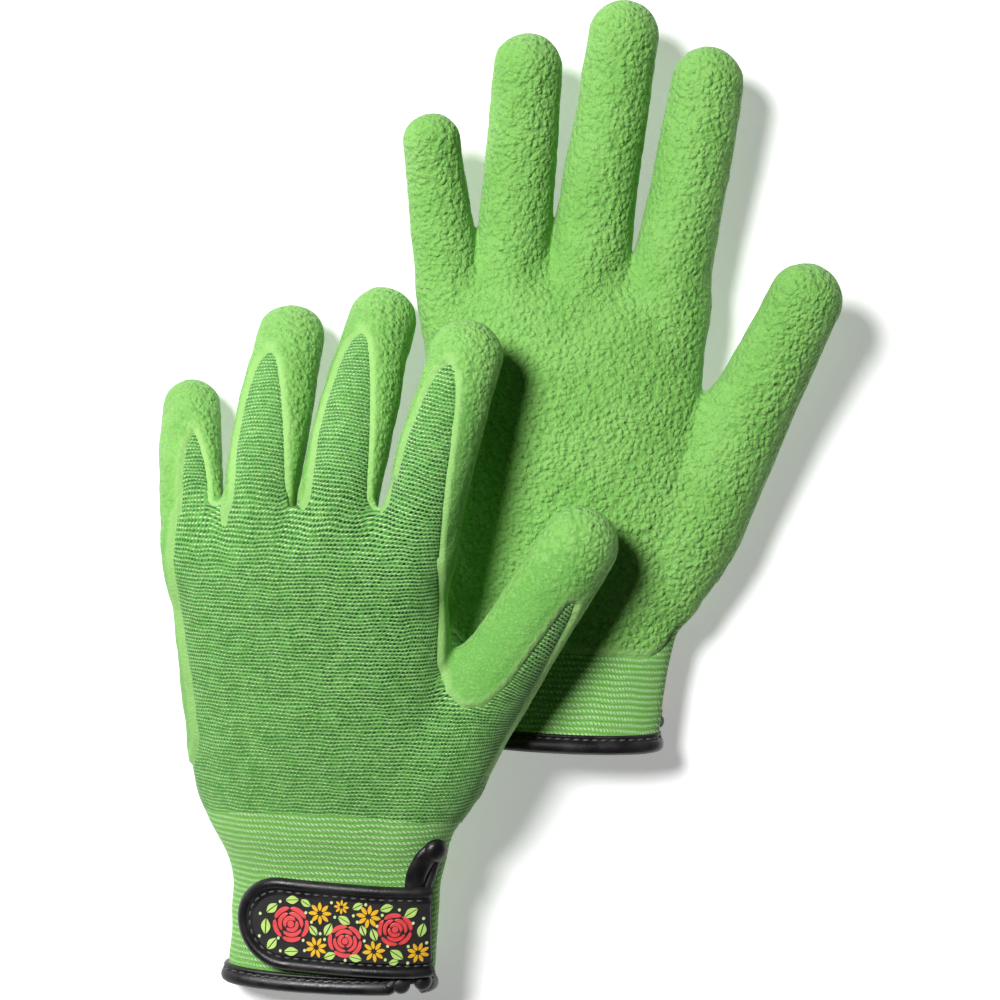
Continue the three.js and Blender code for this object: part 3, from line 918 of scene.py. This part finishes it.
def bend(glove, obj, finger):
    start, end = blend_range(glove, finger)
    glove.place(finger.point(start + 0.8))
    glove.place(finger.point(end))
    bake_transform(obj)


def in_cloth(glove, p):
    """Whether points lie past the hem and outside the slit."""
    above_hem = p[:, 1] > hem_line(p[:, 0], p[:, 2] * glove.back) + HEM_COVER
    return above_hem & ~in_slit(glove, p)


def knit_surface(base, out, bare):
    """The knit, a little below the outermost surface and deeper under the coat."""
    sunk = KNIT_DEPTH + (KNIT_UNDER_COAT - KNIT_DEPTH) * smooth_step(0.5, -0.6, bare)
    return base - out * sunk[:, None]


def coat_surface(glove, base, out, bare):
    """The coat, with soft ridges, a lip along its edge, and a thin edge that goes into the knit."""
    ridge = sum(glove.crinkle(base / size + at) * height for size, height, at in RIDGES)
    relief = ridge * smooth_step(0, -5, bare)
    thinning = smooth_step(-1.9, 1.0, bare) * (KNIT_DEPTH + 0.5)
    lip = COAT_LIP * np.exp(-(((bare + 1.0) / 0.7) ** 2))
    return base + out * (relief + lip - thinning)[:, None]


def make_hand(glove):
    """The knit and the coat of a glove, parted into the hand, the cuff and five fingers."""
    base, quads = mesh_glove(glove, 0, MESH_STEP)
    out = unit(glove.normals(base))
    bare = bareness(glove, base)
    wales, courses, stretch = knit_coordinates(glove, base)
    towards_palm = smooth_step(6, -7, base[:, 2] * glove.back)
    layers = dict(
        rest=base,
        bare=bare,
        wales=wales,
        courses=courses,
        stretch=stretch,
        crinkle=BACK_CRINKLE + (1 - BACK_CRINKLE) * towards_palm,
        in_cuff=cuff_top(base[:, 0]) - base[:, 1],
    )
    centres = base[quads].mean(1)
    owner = owners(glove, centres)
    solid = in_cloth(glove, centres)
    on_cuff = centres[:, 1] <= cuff_top(centres[:, 0])
    showing_knit = solid & (bare[quads].max(1) > -2.5)
    coated = solid & (bare[quads].min(1) < 0.9)

    def add(name, vertices, normals, chosen, material):
        used, faces = keep_faces(chosen, quads)
        name = f"{glove.name}_{name}"
        return piece_of(glove, name, vertices, normals, faces, used, material, layers)

    for what, slot, vertices, wanted, material in (
        ("liner", "knit", knit_surface(base, out, bare), showing_knit, KNIT),
        ("coat", "latex", coat_surface(glove, base, out, bare), coated, LATEX),
    ):
        normals = vertex_normals(vertices, quads)
        palm = wanted & (owner == -1)
        hand = palm & ~on_cuff if what == "liner" else palm
        obj = add(f"palm_{slot}", vertices, normals, hand, material)
        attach(obj, f"{glove.name}_palm")
        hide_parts(f"{glove.name}_palm_{what}")
        for i, finger in enumerate(glove.fingers):
            obj = add(f"{finger.name}_{slot}", vertices, normals, wanted & (owner == i), material)
            bend(glove, obj, finger)
            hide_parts(f"{glove.name}_{finger.name}_{what}")
        if what == "liner":
            cuff = add("cuff_knit", vertices, normals, palm & on_cuff, material)
            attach(cuff, f"{glove.name}_palm")
            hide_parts(f"{glove.name}_cuff")


def make_lining(glove):
    """The inside of the knit, seen through the cuff's mouth and the slit."""
    inner, quads = mesh_glove(glove, INNER_DEPTH, INNER_STEP)
    centres = inner[quads].mean(1)
    chosen = (owners(glove, centres) == -1) & in_cloth(glove, centres)
    used, faces = keep_faces(chosen, quads)
    inner = inner[used]
    wales, courses = knit_coordinates(glove, inner)[:2]
    lining = new_object(f"{glove.name}_lining", glove.place(inner), faces[:, ::-1], KNIT)
    layers = dict(
        rest=inner,
        bare=np.full(len(inner), 5.0),
        wales=wales,
        courses=courses,
        stretch=np.zeros(len(inner)),
        in_cuff=cuff_top(inner[:, 0]) - inner[:, 1],
    )
    for layer, values in layers.items():
        store(lining, layer, values)
    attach(lining, f"{glove.name}_palm")


# ---- Sweeps and flat shapes on the glove ----


def lengths_along(path):
    """The length of a path up to each of its points."""
    steps = np.linalg.norm(np.diff(path, axis=0), axis=1)
    return np.concatenate([[0], np.cumsum(steps)])


def at_lengths(at, walked, rows):
    """Rows that belong to lengths along a path, read off at other lengths."""
    return np.stack([np.interp(at, walked, rows[:, k]) for k in range(3)], 1)


def sweep(path, outward, profile):
    """A profile of (out, along the surface) points carried along a path: vertices and faces."""
    path, outward = np.asarray(path, float), unit(np.asarray(outward, float))
    ahead = np.roll(path, -1, 0) - np.roll(path, 1, 0)
    ahead[0], ahead[-1] = path[1] - path[0], path[-1] - path[-2]
    ahead = unit(ahead)
    across = unit(np.cross(outward, ahead))
    outward = unit(np.cross(ahead, across))
    profile = np.asarray(profile, float)
    vertices = path[:, None] + outward[:, None] * profile[None, :, :1]
    vertices = (vertices + across[:, None] * profile[None, :, 1:]).reshape(-1, 3)
    n, k = len(path), len(profile)
    faces = []
    for i in range(n - 1):
        for j in range(k):
            a, b = i * k + j, i * k + (j + 1) % k
            faces.append((a, b, b + k, a + k))
    faces.append(tuple(range(k))[::-1])
    faces.append(tuple((n - 1) * k + j for j in range(k)))
    return vertices, faces


def round_profile(radius, count):
    turn = np.linspace(0, 2 * np.pi, count, endpoint=False)
    return np.stack([np.cos(turn), np.sin(turn)], 1) * radius


def joined(parts):
    """Several (vertices, faces) as one."""
    vertices, faces, start = [], [], 0
    for v, f in parts:
        vertices.append(np.asarray(v, float))
        faces.extend([tuple(i + start for i in face) for face in f])
        start += len(v)
    return np.vstack(vertices), faces


def fix_facing(obj):
    """Turns every closed part of a mesh to face out."""
    work = bmesh.new()
    work.from_mesh(obj.data)
    bmesh.ops.recalc_face_normals(work, faces=work.faces)
    work.to_mesh(obj.data)
    work.free()


def fitting(glove, name, parts, material, body, smooth=True):
    """A piece in the glove's frame from (vertices, faces) parts, riding on one of its bodies."""
    vertices, faces = joined(parts)
    obj = new_object(f"{glove.name}_{name}", glove.place(vertices), faces, material, smooth)
    store(obj, "rest", vertices)
    fix_facing(obj)
    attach(obj, f"{glove.name}_{body}")
    return obj


def surface_height(x, y, grow):
    """Height of the cuff's surface, grown outwards, over points of the glove's middle plane."""
    shift, half, thick = section_at(y)
    share = np.clip(np.abs(x - shift) / (half + grow), 0, 0.999)
    return (thick + grow) * (1 - share**SQUARENESS) ** (1 / SQUARENESS)


def on_back(glove, x, y, grow):
    """Points on the back of the cuff, grown outwards."""
    x, y = np.broadcast_arrays(np.asarray(x, float), np.asarray(y, float))
    return np.stack([x, y, glove.back * surface_height(x, y, grow)], -1)


def back_normal(glove, x, y, grow=0.0):
    d = 0.5
    a = on_back(glove, np.asarray(x) + d, y, grow) - on_back(glove, np.asarray(x) - d, y, grow)
    b = on_back(glove, x, np.asarray(y) + d, grow) - on_back(glove, x, np.asarray(y) - d, grow)
    return unit(np.cross(a, b)) * glove.back


STITCH_RADIUS = 0.36
STITCH_ARCH = np.array([-0.9, 0.5, 0.8, 0.5, -0.9])  # from hole to hole, in radii


def stitches(path, outward, length=2.0, gap=1.0):
    """Short rounded stitches laid along a path."""
    path, outward = np.asarray(path, float), unit(np.asarray(outward, float))
    walked = lengths_along(path)
    parts = []
    for start in np.arange(gap, walked[-1] - length, length + gap):
        at = np.linspace(start, start + length, 5)
        line, up = at_lengths(at, walked, path), at_lengths(at, walked, outward)
        line = line + unit(up) * (STITCH_RADIUS * STITCH_ARCH)[:, None]
        parts.append(sweep(line, up, round_profile(STITCH_RADIUS, 6)))
    return parts


# ---- Bound hem and slit ----


HEM_POINTS = 220
HEM_SECTION = 3.0  # the hem takes its section here


def ring_path(glove, grow):
    """Round the cuff's end from one side of the slit to the other: points and outward directions."""
    shift, half, thick = (float(v) for v in section_at(np.array(HEM_SECTION)))
    turn = np.linspace(0, 2 * np.pi, 1440, endpoint=False)
    power = 2 / SQUARENESS
    c, s = np.cos(turn), np.sin(turn)
    x = shift + np.sign(c) * np.abs(c) ** power * (half + grow)
    z = np.sign(s) * np.abs(s) ** power * (thick + grow)
    up = z * glove.back
    tuck = 3.4 * smooth_step(21, 26.5, x) * smooth_step(4, 8, up)
    tuck = np.where(x < 30, tuck, 0)
    points = np.stack([x, hem_line(x, up) + tuck, z], -1)
    on_slit = (x > 27.2) & (x < 31.2) & (z * glove.back > 0)
    first = int(np.argmax(on_slit & ~np.roll(on_slit, -1))) + 1
    order = np.roll(np.arange(len(turn)), -first)
    order = order[~on_slit[order]]
    points = points[order]
    walked = lengths_along(points)
    points = at_lengths(np.linspace(0, walked[-1], HEM_POINTS), walked, points)
    ahead = np.gradient(points, axis=0)
    outward = np.cross(ahead, [0, 1, 0])
    centre = np.array([shift, 0, 0])
    flip = np.sign(((points - centre) * [1, 0, 1] * outward).sum(1))
    return points, unit(outward * flip[:, None])


HEM_PROFILE = [
    (0.5, 6.0), (0.85, 5.5), (0.75, 4.9), (0.35, 4.5), (0.8, 4.1), (1.45, 3.5), (1.8, 2.6),
    (1.85, 1.6), (1.5, 0.6), (0.7, -0.1), (-0.4, -0.4), (-1.6, 0.0), (-2.6, 0.9), (-2.7, 2.6),
    (-2.2, 4.4), (-1.6, 5.6), (-0.6, 6.0),
]


def make_hem(glove):
    path, outward = ring_path(glove, -KNIT_DEPTH)
    sense = np.sign(np.cross(outward[0], path[1] - path[0])[1])
    profile = [(o, a * sense) for o, a in HEM_PROFILE]
    end = knob(glove, 25.2, 4.9, 0.1, 3.0, 4.0)
    hem = fitting(glove, "hem", [sweep(path, outward, profile), end], LEATHER, "palm")
    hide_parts(f"{glove.name}_hem_binding")
    seam = path + outward * 0.5 + np.array([0, 4.5, 0])
    fitting(glove, "hem_stitches", stitches(seam, outward), THREAD, "palm")


def tape_profile():
    """A flattened round section, one high and one wide."""
    turn = np.linspace(0, 2 * np.pi, 14, endpoint=False)
    out = np.sign(np.sin(turn)) * np.abs(np.sin(turn)) ** 0.8 / 2
    return np.stack([out, np.cos(turn) / 2], 1)


def taped_band(glove, route, widths, height, grow):
    """A rounded band of tape over the back of the cuff, along a route of its plane."""
    x, y = catmull_rom(np.array(route, float), 8).T
    width = np.interp(np.linspace(0, 1, len(x)), np.linspace(0, 1, len(widths)), widths)
    lift = np.interp(np.linspace(0, 1, len(x)), np.linspace(0, 1, len(grow)), grow)
    path = np.array([on_back(glove, a, b, g) for a, b, g in zip(x, y, lift)])
    outward = back_normal(glove, x, y)
    flat = tape_profile()
    vertices, faces = sweep(path, outward, flat)
    shaped = vertices.reshape(-1, len(flat), 3) - path[:, None]
    facing = unit(outward)[:, None]
    out = (shaped * facing).sum(-1, keepdims=True) * facing
    shaped = (shaped - out) * width[:, None, None] + out * height
    return (path[:, None] + shaped).reshape(-1, 3), faces


def knob(glove, x, y, grow, radius, height):
    """A rounded button of folded tape."""
    centre, out = on_back(glove, x, y, grow), back_normal(glove, x, y)
    along = unit(np.cross(out, [0, 1, 0]))
    aside = np.cross(out, along)
    vertices, faces = [], []
    rings, sides = 9, 24
    for i in range(rings):
        tip = math.pi * (i + 0.5) / rings
        for turn in np.linspace(0, 2 * np.pi, sides, endpoint=False):
            flat = (along * math.cos(turn) + aside * math.sin(turn)) * math.sin(tip) ** 0.7 * radius
            vertices.append(centre + flat + out * math.cos(tip) * height / 2)
    for i in range(rings - 1):
        for j in range(sides):
            a, b = i * sides + j, i * sides + (j + 1) % sides
            faces.append((a, b, b + sides, a + sides))
    faces.append(tuple(range(sides))[::-1])
    faces.append(tuple((rings - 1) * sides + j for j in range(sides)))
    return np.array(vertices), faces


def make_slit_binding(glove):
    """Tape folded over both edges of the slit, gathered in a thick round knot over its top."""
    left = [(27.4, 5.5), (27.6, 12), (28.2, 24), (29.0, 34), (30.4, 42), (33.0, 47.5), (35.2, 50.2)]
    right = [(31.6, 5.0), (31.8, 14), (32.2, 26), (33.2, 36), (35.4, 43), (36.8, 48.6)]
    parts = [
        taped_band(glove, left, (3.4, 3.6, 3.8, 5.4, 6.8, 7.0, 6.4), 3.2, (0.1, 0.1, 0.3, 0.4, 0.3, 0)),
        taped_band(glove, right, (3.4, 3.0, 2.8, 2.8, 2.8, 4.0), 2.4, (0.1, 0.1, 0.1, 0.0, 0.0)),
        knob(glove, 36.4, 50.4, 0.4, 4.0, 5.4),
        knob(glove, 32.0, 5.6, 0.5, 3.1, 4.2),
    ]
    binding = fitting(glove, "slit_tape", parts, LEATHER, "palm")
    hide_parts(f"{glove.name}_slit_binding")


# ---- Wrist strap ----

STRAP_BASE = 1.3
EDGE_HEIGHT = 3.4
PATCH_TOP = 4.1
SHAPE_TOP = 4.5
STRAP_SLOPE = -0.045


OUTLINE_COUNT = 40  # points on each stretch of the strap's outline


def strap_outline(inset):
    """Round the strap from its sewn end's lower corner, over the tip, to the upper corner."""
    low, high = STRAP["low"] + inset, STRAP["high"] - inset
    radius = (high - low) / 2
    middle = (high + low) / 2
    start = STRAP["tip"] + inset + radius
    turn = np.linspace(1.5 * np.pi, 0.5 * np.pi, OUTLINE_COUNT)
    arc = np.stack([start + radius * np.cos(turn), middle + radius * np.sin(turn)], 1)
    straight = np.linspace(STRAP["sewn"], start, OUTLINE_COUNT, endpoint=False)
    lower = np.stack([straight, np.full(OUTLINE_COUNT, low)], 1)
    upper = np.stack([straight[::-1], np.full(OUTLINE_COUNT, high)], 1)
    points = np.vstack([lower, arc, upper])
    points[:, 1] += STRAP_SLOPE * (points[:, 0] - STRAP["tip"])
    return points


SLAB_ROWS = 14


def filled_outline(glove, outline, low, high):
    """A slab over the cuff with a closed outline, meshed in strips from its lower to its upper edge."""
    half, rows = len(outline) // 2, SLAB_ROWS
    lower, upper = outline[:half], outline[len(outline) - half :][::-1]
    share = np.linspace(0, 1, rows)[:, None, None]
    flat = lower[None] * (1 - share) + upper[None] * share
    sheets = [on_back(glove, flat[..., 0], flat[..., 1], g).reshape(-1, 3) for g in (low, high)]
    faces = []
    for sheet in range(2):
        for i in range(rows - 1):
            for j in range(half - 1):
                a = sheet * rows * half + i * half + j
                faces.append((a, a + 1, a + half + 1, a + half))
    border = [j for j in range(half)]
    border += [i * half + half - 1 for i in range(1, rows)]
    border += [(rows - 1) * half + j for j in range(half - 2, -1, -1)]
    border += [i * half for i in range(rows - 2, 0, -1)]
    for a, b in zip(border, border[1:] + border[:1]):
        faces.append((a, b, b + rows * half, a + rows * half))
    return np.vstack(sheets), faces


def along_strap(glove, inset, grow):
    x, y = strap_outline(inset).T
    return on_back(glove, x, y, grow), back_normal(glove, x, y, grow)


def make_strap(glove):
    """The strap's roll edge, its stitched flange, its core, and the pads that fasten it."""
    roll_path, roll_out = along_strap(glove, 1.4, EDGE_HEIGHT - 0.9)
    flange_path, flange_out = along_strap(glove, 3.9, EDGE_HEIGHT - 0.5)
    flange = [(0.5, -1.7), (0.7, -0.8), (0.35, 0.0), (0.7, 0.8), (0.55, 1.5), (-0.8, 1.5), (-0.8, -1.7)]
    parts = [
        sweep(roll_path, roll_out, round_profile(1.85, 14)),
        sweep(flange_path, flange_out, flange),
    ]
    edge = fitting(glove, "strap_edge", parts, LEATHER, "strap")
    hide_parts(f"{glove.name}_strap_binding")
    seam, seam_out = along_strap(glove, 3.9, EDGE_HEIGHT - 0.25)
    fitting(glove, "strap_stitches", stitches(seam, seam_out, 2.1, 0.9), THREAD, "strap")
    core = filled_outline(glove, strap_outline(2.0), STRAP_BASE + 0.5, EDGE_HEIGHT - 0.9)
    web = fitting(glove, "strap_core", [core], HOOKS, "strap", smooth=False)
    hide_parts(f"{glove.name}_strap_web")
    slab = filled_outline(glove, strap_outline(STRAP_EDGE), EDGE_HEIGHT - 1.0, PATCH_TOP)
    patch = fitting(glove, "strap_patch", [slab], PATCH, "strap", smooth=False)
    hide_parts(f"{glove.name}_strap_badge")
    for name, body, node, reach, low, high in (
        ("hook_tape", "strap", "hook_pad", 4, 0.9, STRAP_BASE + 0.5),
        ("loop_tape", "palm", "loop_pad", 10, -0.9, 0.4),
    ):
        outline = strap_outline(3.6)
        outline[:, 0] = np.minimum(outline[:, 0], reach)
        pad = filled_outline(glove, outline, low, high)
        tape = fitting(glove, name, [pad], HOOKS, body, smooth=False)
        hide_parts(f"{glove.name}_{node}")


# ---- Flowers on the badge ----


def ellipse(centre, length, width, angle, count=18, point=0.0):
    """An oval, drawn out to a point at both ends by point."""
    t = np.linspace(0, 2 * np.pi, count, endpoint=False)
    x = np.cos(t) * length / 2
    y = np.sin(t) * width / 2 * (1 - point * np.abs(np.cos(t)) ** 2)
    c, s = math.cos(angle), math.sin(angle)
    return np.stack([centre[0] + x * c - y * s, centre[1] + x * s + y * c], 1)


PETAL_POINTS = 10


def crescent(centre, inner, outer, start, end):
    """A petal: a stretch of a ring with rounded, narrowed ends."""
    t = np.linspace(start, end, PETAL_POINTS)
    swell = np.sin(np.linspace(0, np.pi, PETAL_POINTS)) ** 0.3
    middle = (inner + outer) / 2
    far, near = middle + (outer - middle) * swell, middle - (middle - inner) * swell
    ring = [np.stack([centre[0] + r * np.cos(t), centre[1] + r * np.sin(t)], 1) for r in (far, near)]
    return np.vstack([ring[0], ring[1][::-1][1:-1]])


def raised(glove, outlines):
    """Flat shapes stood on the patch: a top face and a wall for each outline."""
    parts = []
    for outline in outlines:
        n = len(outline)
        centre = outline.mean(0)
        inner = centre + (outline - centre) * 0.9
        levels = [(outline, PATCH_TOP - 0.3), (outline, SHAPE_TOP - 0.12), (inner, SHAPE_TOP)]
        vertices = np.vstack([on_back(glove, o[:, 0], o[:, 1], g) for o, g in levels])
        faces = []
        for level in range(2):
            for j in range(n):
                a, b = level * n + j, level * n + (j + 1) % n
                faces.append((a, b, b + n, a + n))
        faces.append(tuple(2 * n + j for j in range(n)))
        faces.append(tuple(range(n))[::-1])
        parts.append((vertices, faces))
    return parts


def rose(centre, radius, turn):
    """A round generic rose: a bud, and three rings of overlapping petals."""
    outlines = [ellipse(centre, radius * 0.38, radius * 0.38, 0)]
    for ring, (near, far, petals) in enumerate(((0.23, 0.45, 2), (0.49, 0.71, 3), (0.75, 1.0, 5))):
        for k in range(petals):
            start = turn + ring * 1.1 + 2 * math.pi * k / petals
            end = start + 2 * math.pi / petals * 0.97
            outlines.append(crescent(centre, near * radius, far * radius, start, end))
    return outlines


def daisy(centre, radius, turn):
    outlines = []
    for k in range(8):
        angle = turn + k * math.pi / 4
        at = centre + 0.62 * radius * np.array([math.cos(angle), math.sin(angle)])
        outlines.append(ellipse(at, radius * 0.8, radius * 0.36, angle, 10, 0.3))
    return outlines


def leaf(centre, length, angle):
    """A leaf in two halves, parted by its midrib."""
    whole = ellipse(centre, length, length * 0.56, angle, 20, 0.7)
    c, s = math.cos(angle), math.sin(angle)
    halves = []
    for sign in (1, -1):
        side = sign * ((whole - centre) @ np.array([-s, c]))
        half = whole[side > -1e-6] + sign * 0.16 * np.array([-s, c])
        halves.append(half)
    return halves


def strap_point(x, y):
    """A place on the patch: x from its tip end, y from its middle line."""
    tip = STRAP["tip"] + STRAP_EDGE
    middle = (STRAP["low"] + STRAP["high"]) / 2
    at = tip + x
    return np.array([at, middle + y + STRAP_SLOPE * (at - STRAP["tip"])])


def make_flowers(glove):
    """A generic floral print: roses, daisies, leaves and dots in a loose repeat."""
    roses = [(13.0, 0.8, 6.1), (30.6, -3.2, 5.6), (46.6, 1.6, 5.6)]
    daisies = [
        (22.6, 5.4, 3.7), (21.2, -6.2, 3.5), (38.2, 5.6, 3.9), (39.8, -6.0, 3.6), (53.6, -6.2, 3.4),
        (29.6, 8.2, 2.4),
    ]
    leaves = [
        (4.6, -1.0, 5.2, 1.5), (6.6, -6.6, 4.8, 0.9), (13.0, -8.4, 4.6, 0.1), (6.8, 5.4, 4.6, 0.7),
        (13.6, 9.0, 4.2, 0.1), (18.0, 8.4, 3.6, 2.6), (20.4, -0.6, 3.8, 2.2), (25.6, -8.6, 4.0, 0.4),
        (25.2, 0.2, 4.6, 1.1), (30.4, 3.8, 4.4, 2.6), (34.8, 8.8, 3.6, 0.5), (36.4, 0.8, 3.6, 1.9),
        (33.8, -8.6, 4.2, 2.9), (39.9, -0.4, 4.2, 1.9), (44.0, 8.8, 4.2, 0.3), (51.6, 7.4, 4.8, 0.6),
        (54.8, 1.4, 4.6, 1.3), (47.0, -6.8, 4.8, 2.5), (46.0, -9.4, 3.0, 0.2),
    ]
    dots = [
        (2.4, -4.6), (2.8, 3.0), (9.4, -8.6), (17.4, -7.6), (9.6, 8.0), (19.8, 2.2), (18.0, 5.2),
        (22.6, -1.4), (24.0, -3.2), (27.4, 4.6), (26.4, 9.4), (33.4, 5.6), (34.6, 3.6), (36.8, -2.6),
        (42.6, 6.4), (40.9, 2.6), (44.2, -4.0), (43.4, -8.6), (50.6, -4.0), (50.4, -9.6), (55.4, 5.4),
        (56.2, -3.0), (48.0, 8.4), (30.6, -9.6), (8.8, -4.4), (17.0, -4.2), (52.2, 3.9), (37.4, 9.6),
    ]
    outlines = {"roses": [], "daisies": [], "leaves": [], "dots": []}
    for k, (x, y, radius) in enumerate(roses):
        outlines["roses"] += rose(strap_point(x, y), radius, 0.7 + k)
    for k, (x, y, radius) in enumerate(daisies):
        outlines["daisies"] += daisy(strap_point(x, y), radius, 0.3 * k)
    for x, y, length, angle in leaves:
        outlines["leaves"] += leaf(strap_point(x, y), length, angle)
    for x, y in dots:
        outlines["dots"].append(ellipse(strap_point(x, y), 1.0, 1.0, 0, 10))
    for name, material in (("roses", ROSE), ("daisies", DAISY), ("leaves", LEAF), ("dots", DOT)):
        parts = raised(glove, outlines[name])
        fitting(glove, f"badge_{name}", parts, material, "strap", smooth=False)


# ---- Studio ----

KEY = dict(place=(-0.56, 0.44, 1.12), size=0.42, power=24.5)
FILL = dict(place=(0.7, -0.6, 1.5), size=1.2, power=0.1)
SKY = 0.02
FLOOR_GLOW, FLOOR_DROP, FLOOR_REACH = 0.36, 0.0004, 4
VIEW_HEIGHT = 0.95
VIEW_LEVEL = 0.015
VIEW_WIDTH = 0.325
VIEW_CENTRE = (0.0004, -0.0001)


def make_studio():
    """A pale floor, a soft key light from the upper left, a weak fill, and the camera above."""
    m = Nodes("floor")
    m.set(Base_Color=(0.93, 0.93, 0.93, 1), Roughness=0.9)
    m.set(Emission_Color=(1, 1, 1, 1), Emission_Strength=FLOOR_GLOW)
    corners = [(-1, -1, 0), (1, -1, 0), (1, 1, 0), (-1, 1, 0)]
    corners = np.array(corners) * FLOOR_REACH
    floor = new_object("floor", corners, [(0, 1, 2, 3)], m.material, False)
    floor.location.z = -FLOOR_DROP

    def area(name, place, size, power):
        light = bpy.data.lights.new(name, "AREA")
        light.shape, light.size, light.energy = "DISK", size, power
        obj = bpy.data.objects.new(name, light)
        obj.location = place
        obj.rotation_euler = (-Vector(place)).to_track_quat("-Z", "Y").to_euler()
        bpy.context.scene.collection.objects.link(obj)

    area("key", **KEY)
    area("fill", **FILL)

    world = bpy.data.worlds.new("studio")
    world.use_nodes = True
    world.node_tree.nodes["Background"].inputs[0].default_value = (1, 1, 1, 1)
    world.node_tree.nodes["Background"].inputs[1].default_value = SKY
    bpy.context.scene.world = world
    bpy.context.scene.view_settings.view_transform = "Standard"

    camera = bpy.data.cameras.new("camera")
    camera.lens = camera.sensor_width * (VIEW_HEIGHT - VIEW_LEVEL) / VIEW_WIDTH
    obj = bpy.data.objects.new("camera", camera)
    obj.location = (*VIEW_CENTRE, VIEW_HEIGHT)
    bpy.context.scene.collection.objects.link(obj)
    bpy.context.scene.camera = obj


make_studio()
for side in GLOVES:
    a_glove = Glove(side)
    make_hand(a_glove)
    make_lining(a_glove)
    make_hem(a_glove)
    make_slit_binding(a_glove)
    make_strap(a_glove)
    make_flowers(a_glove)
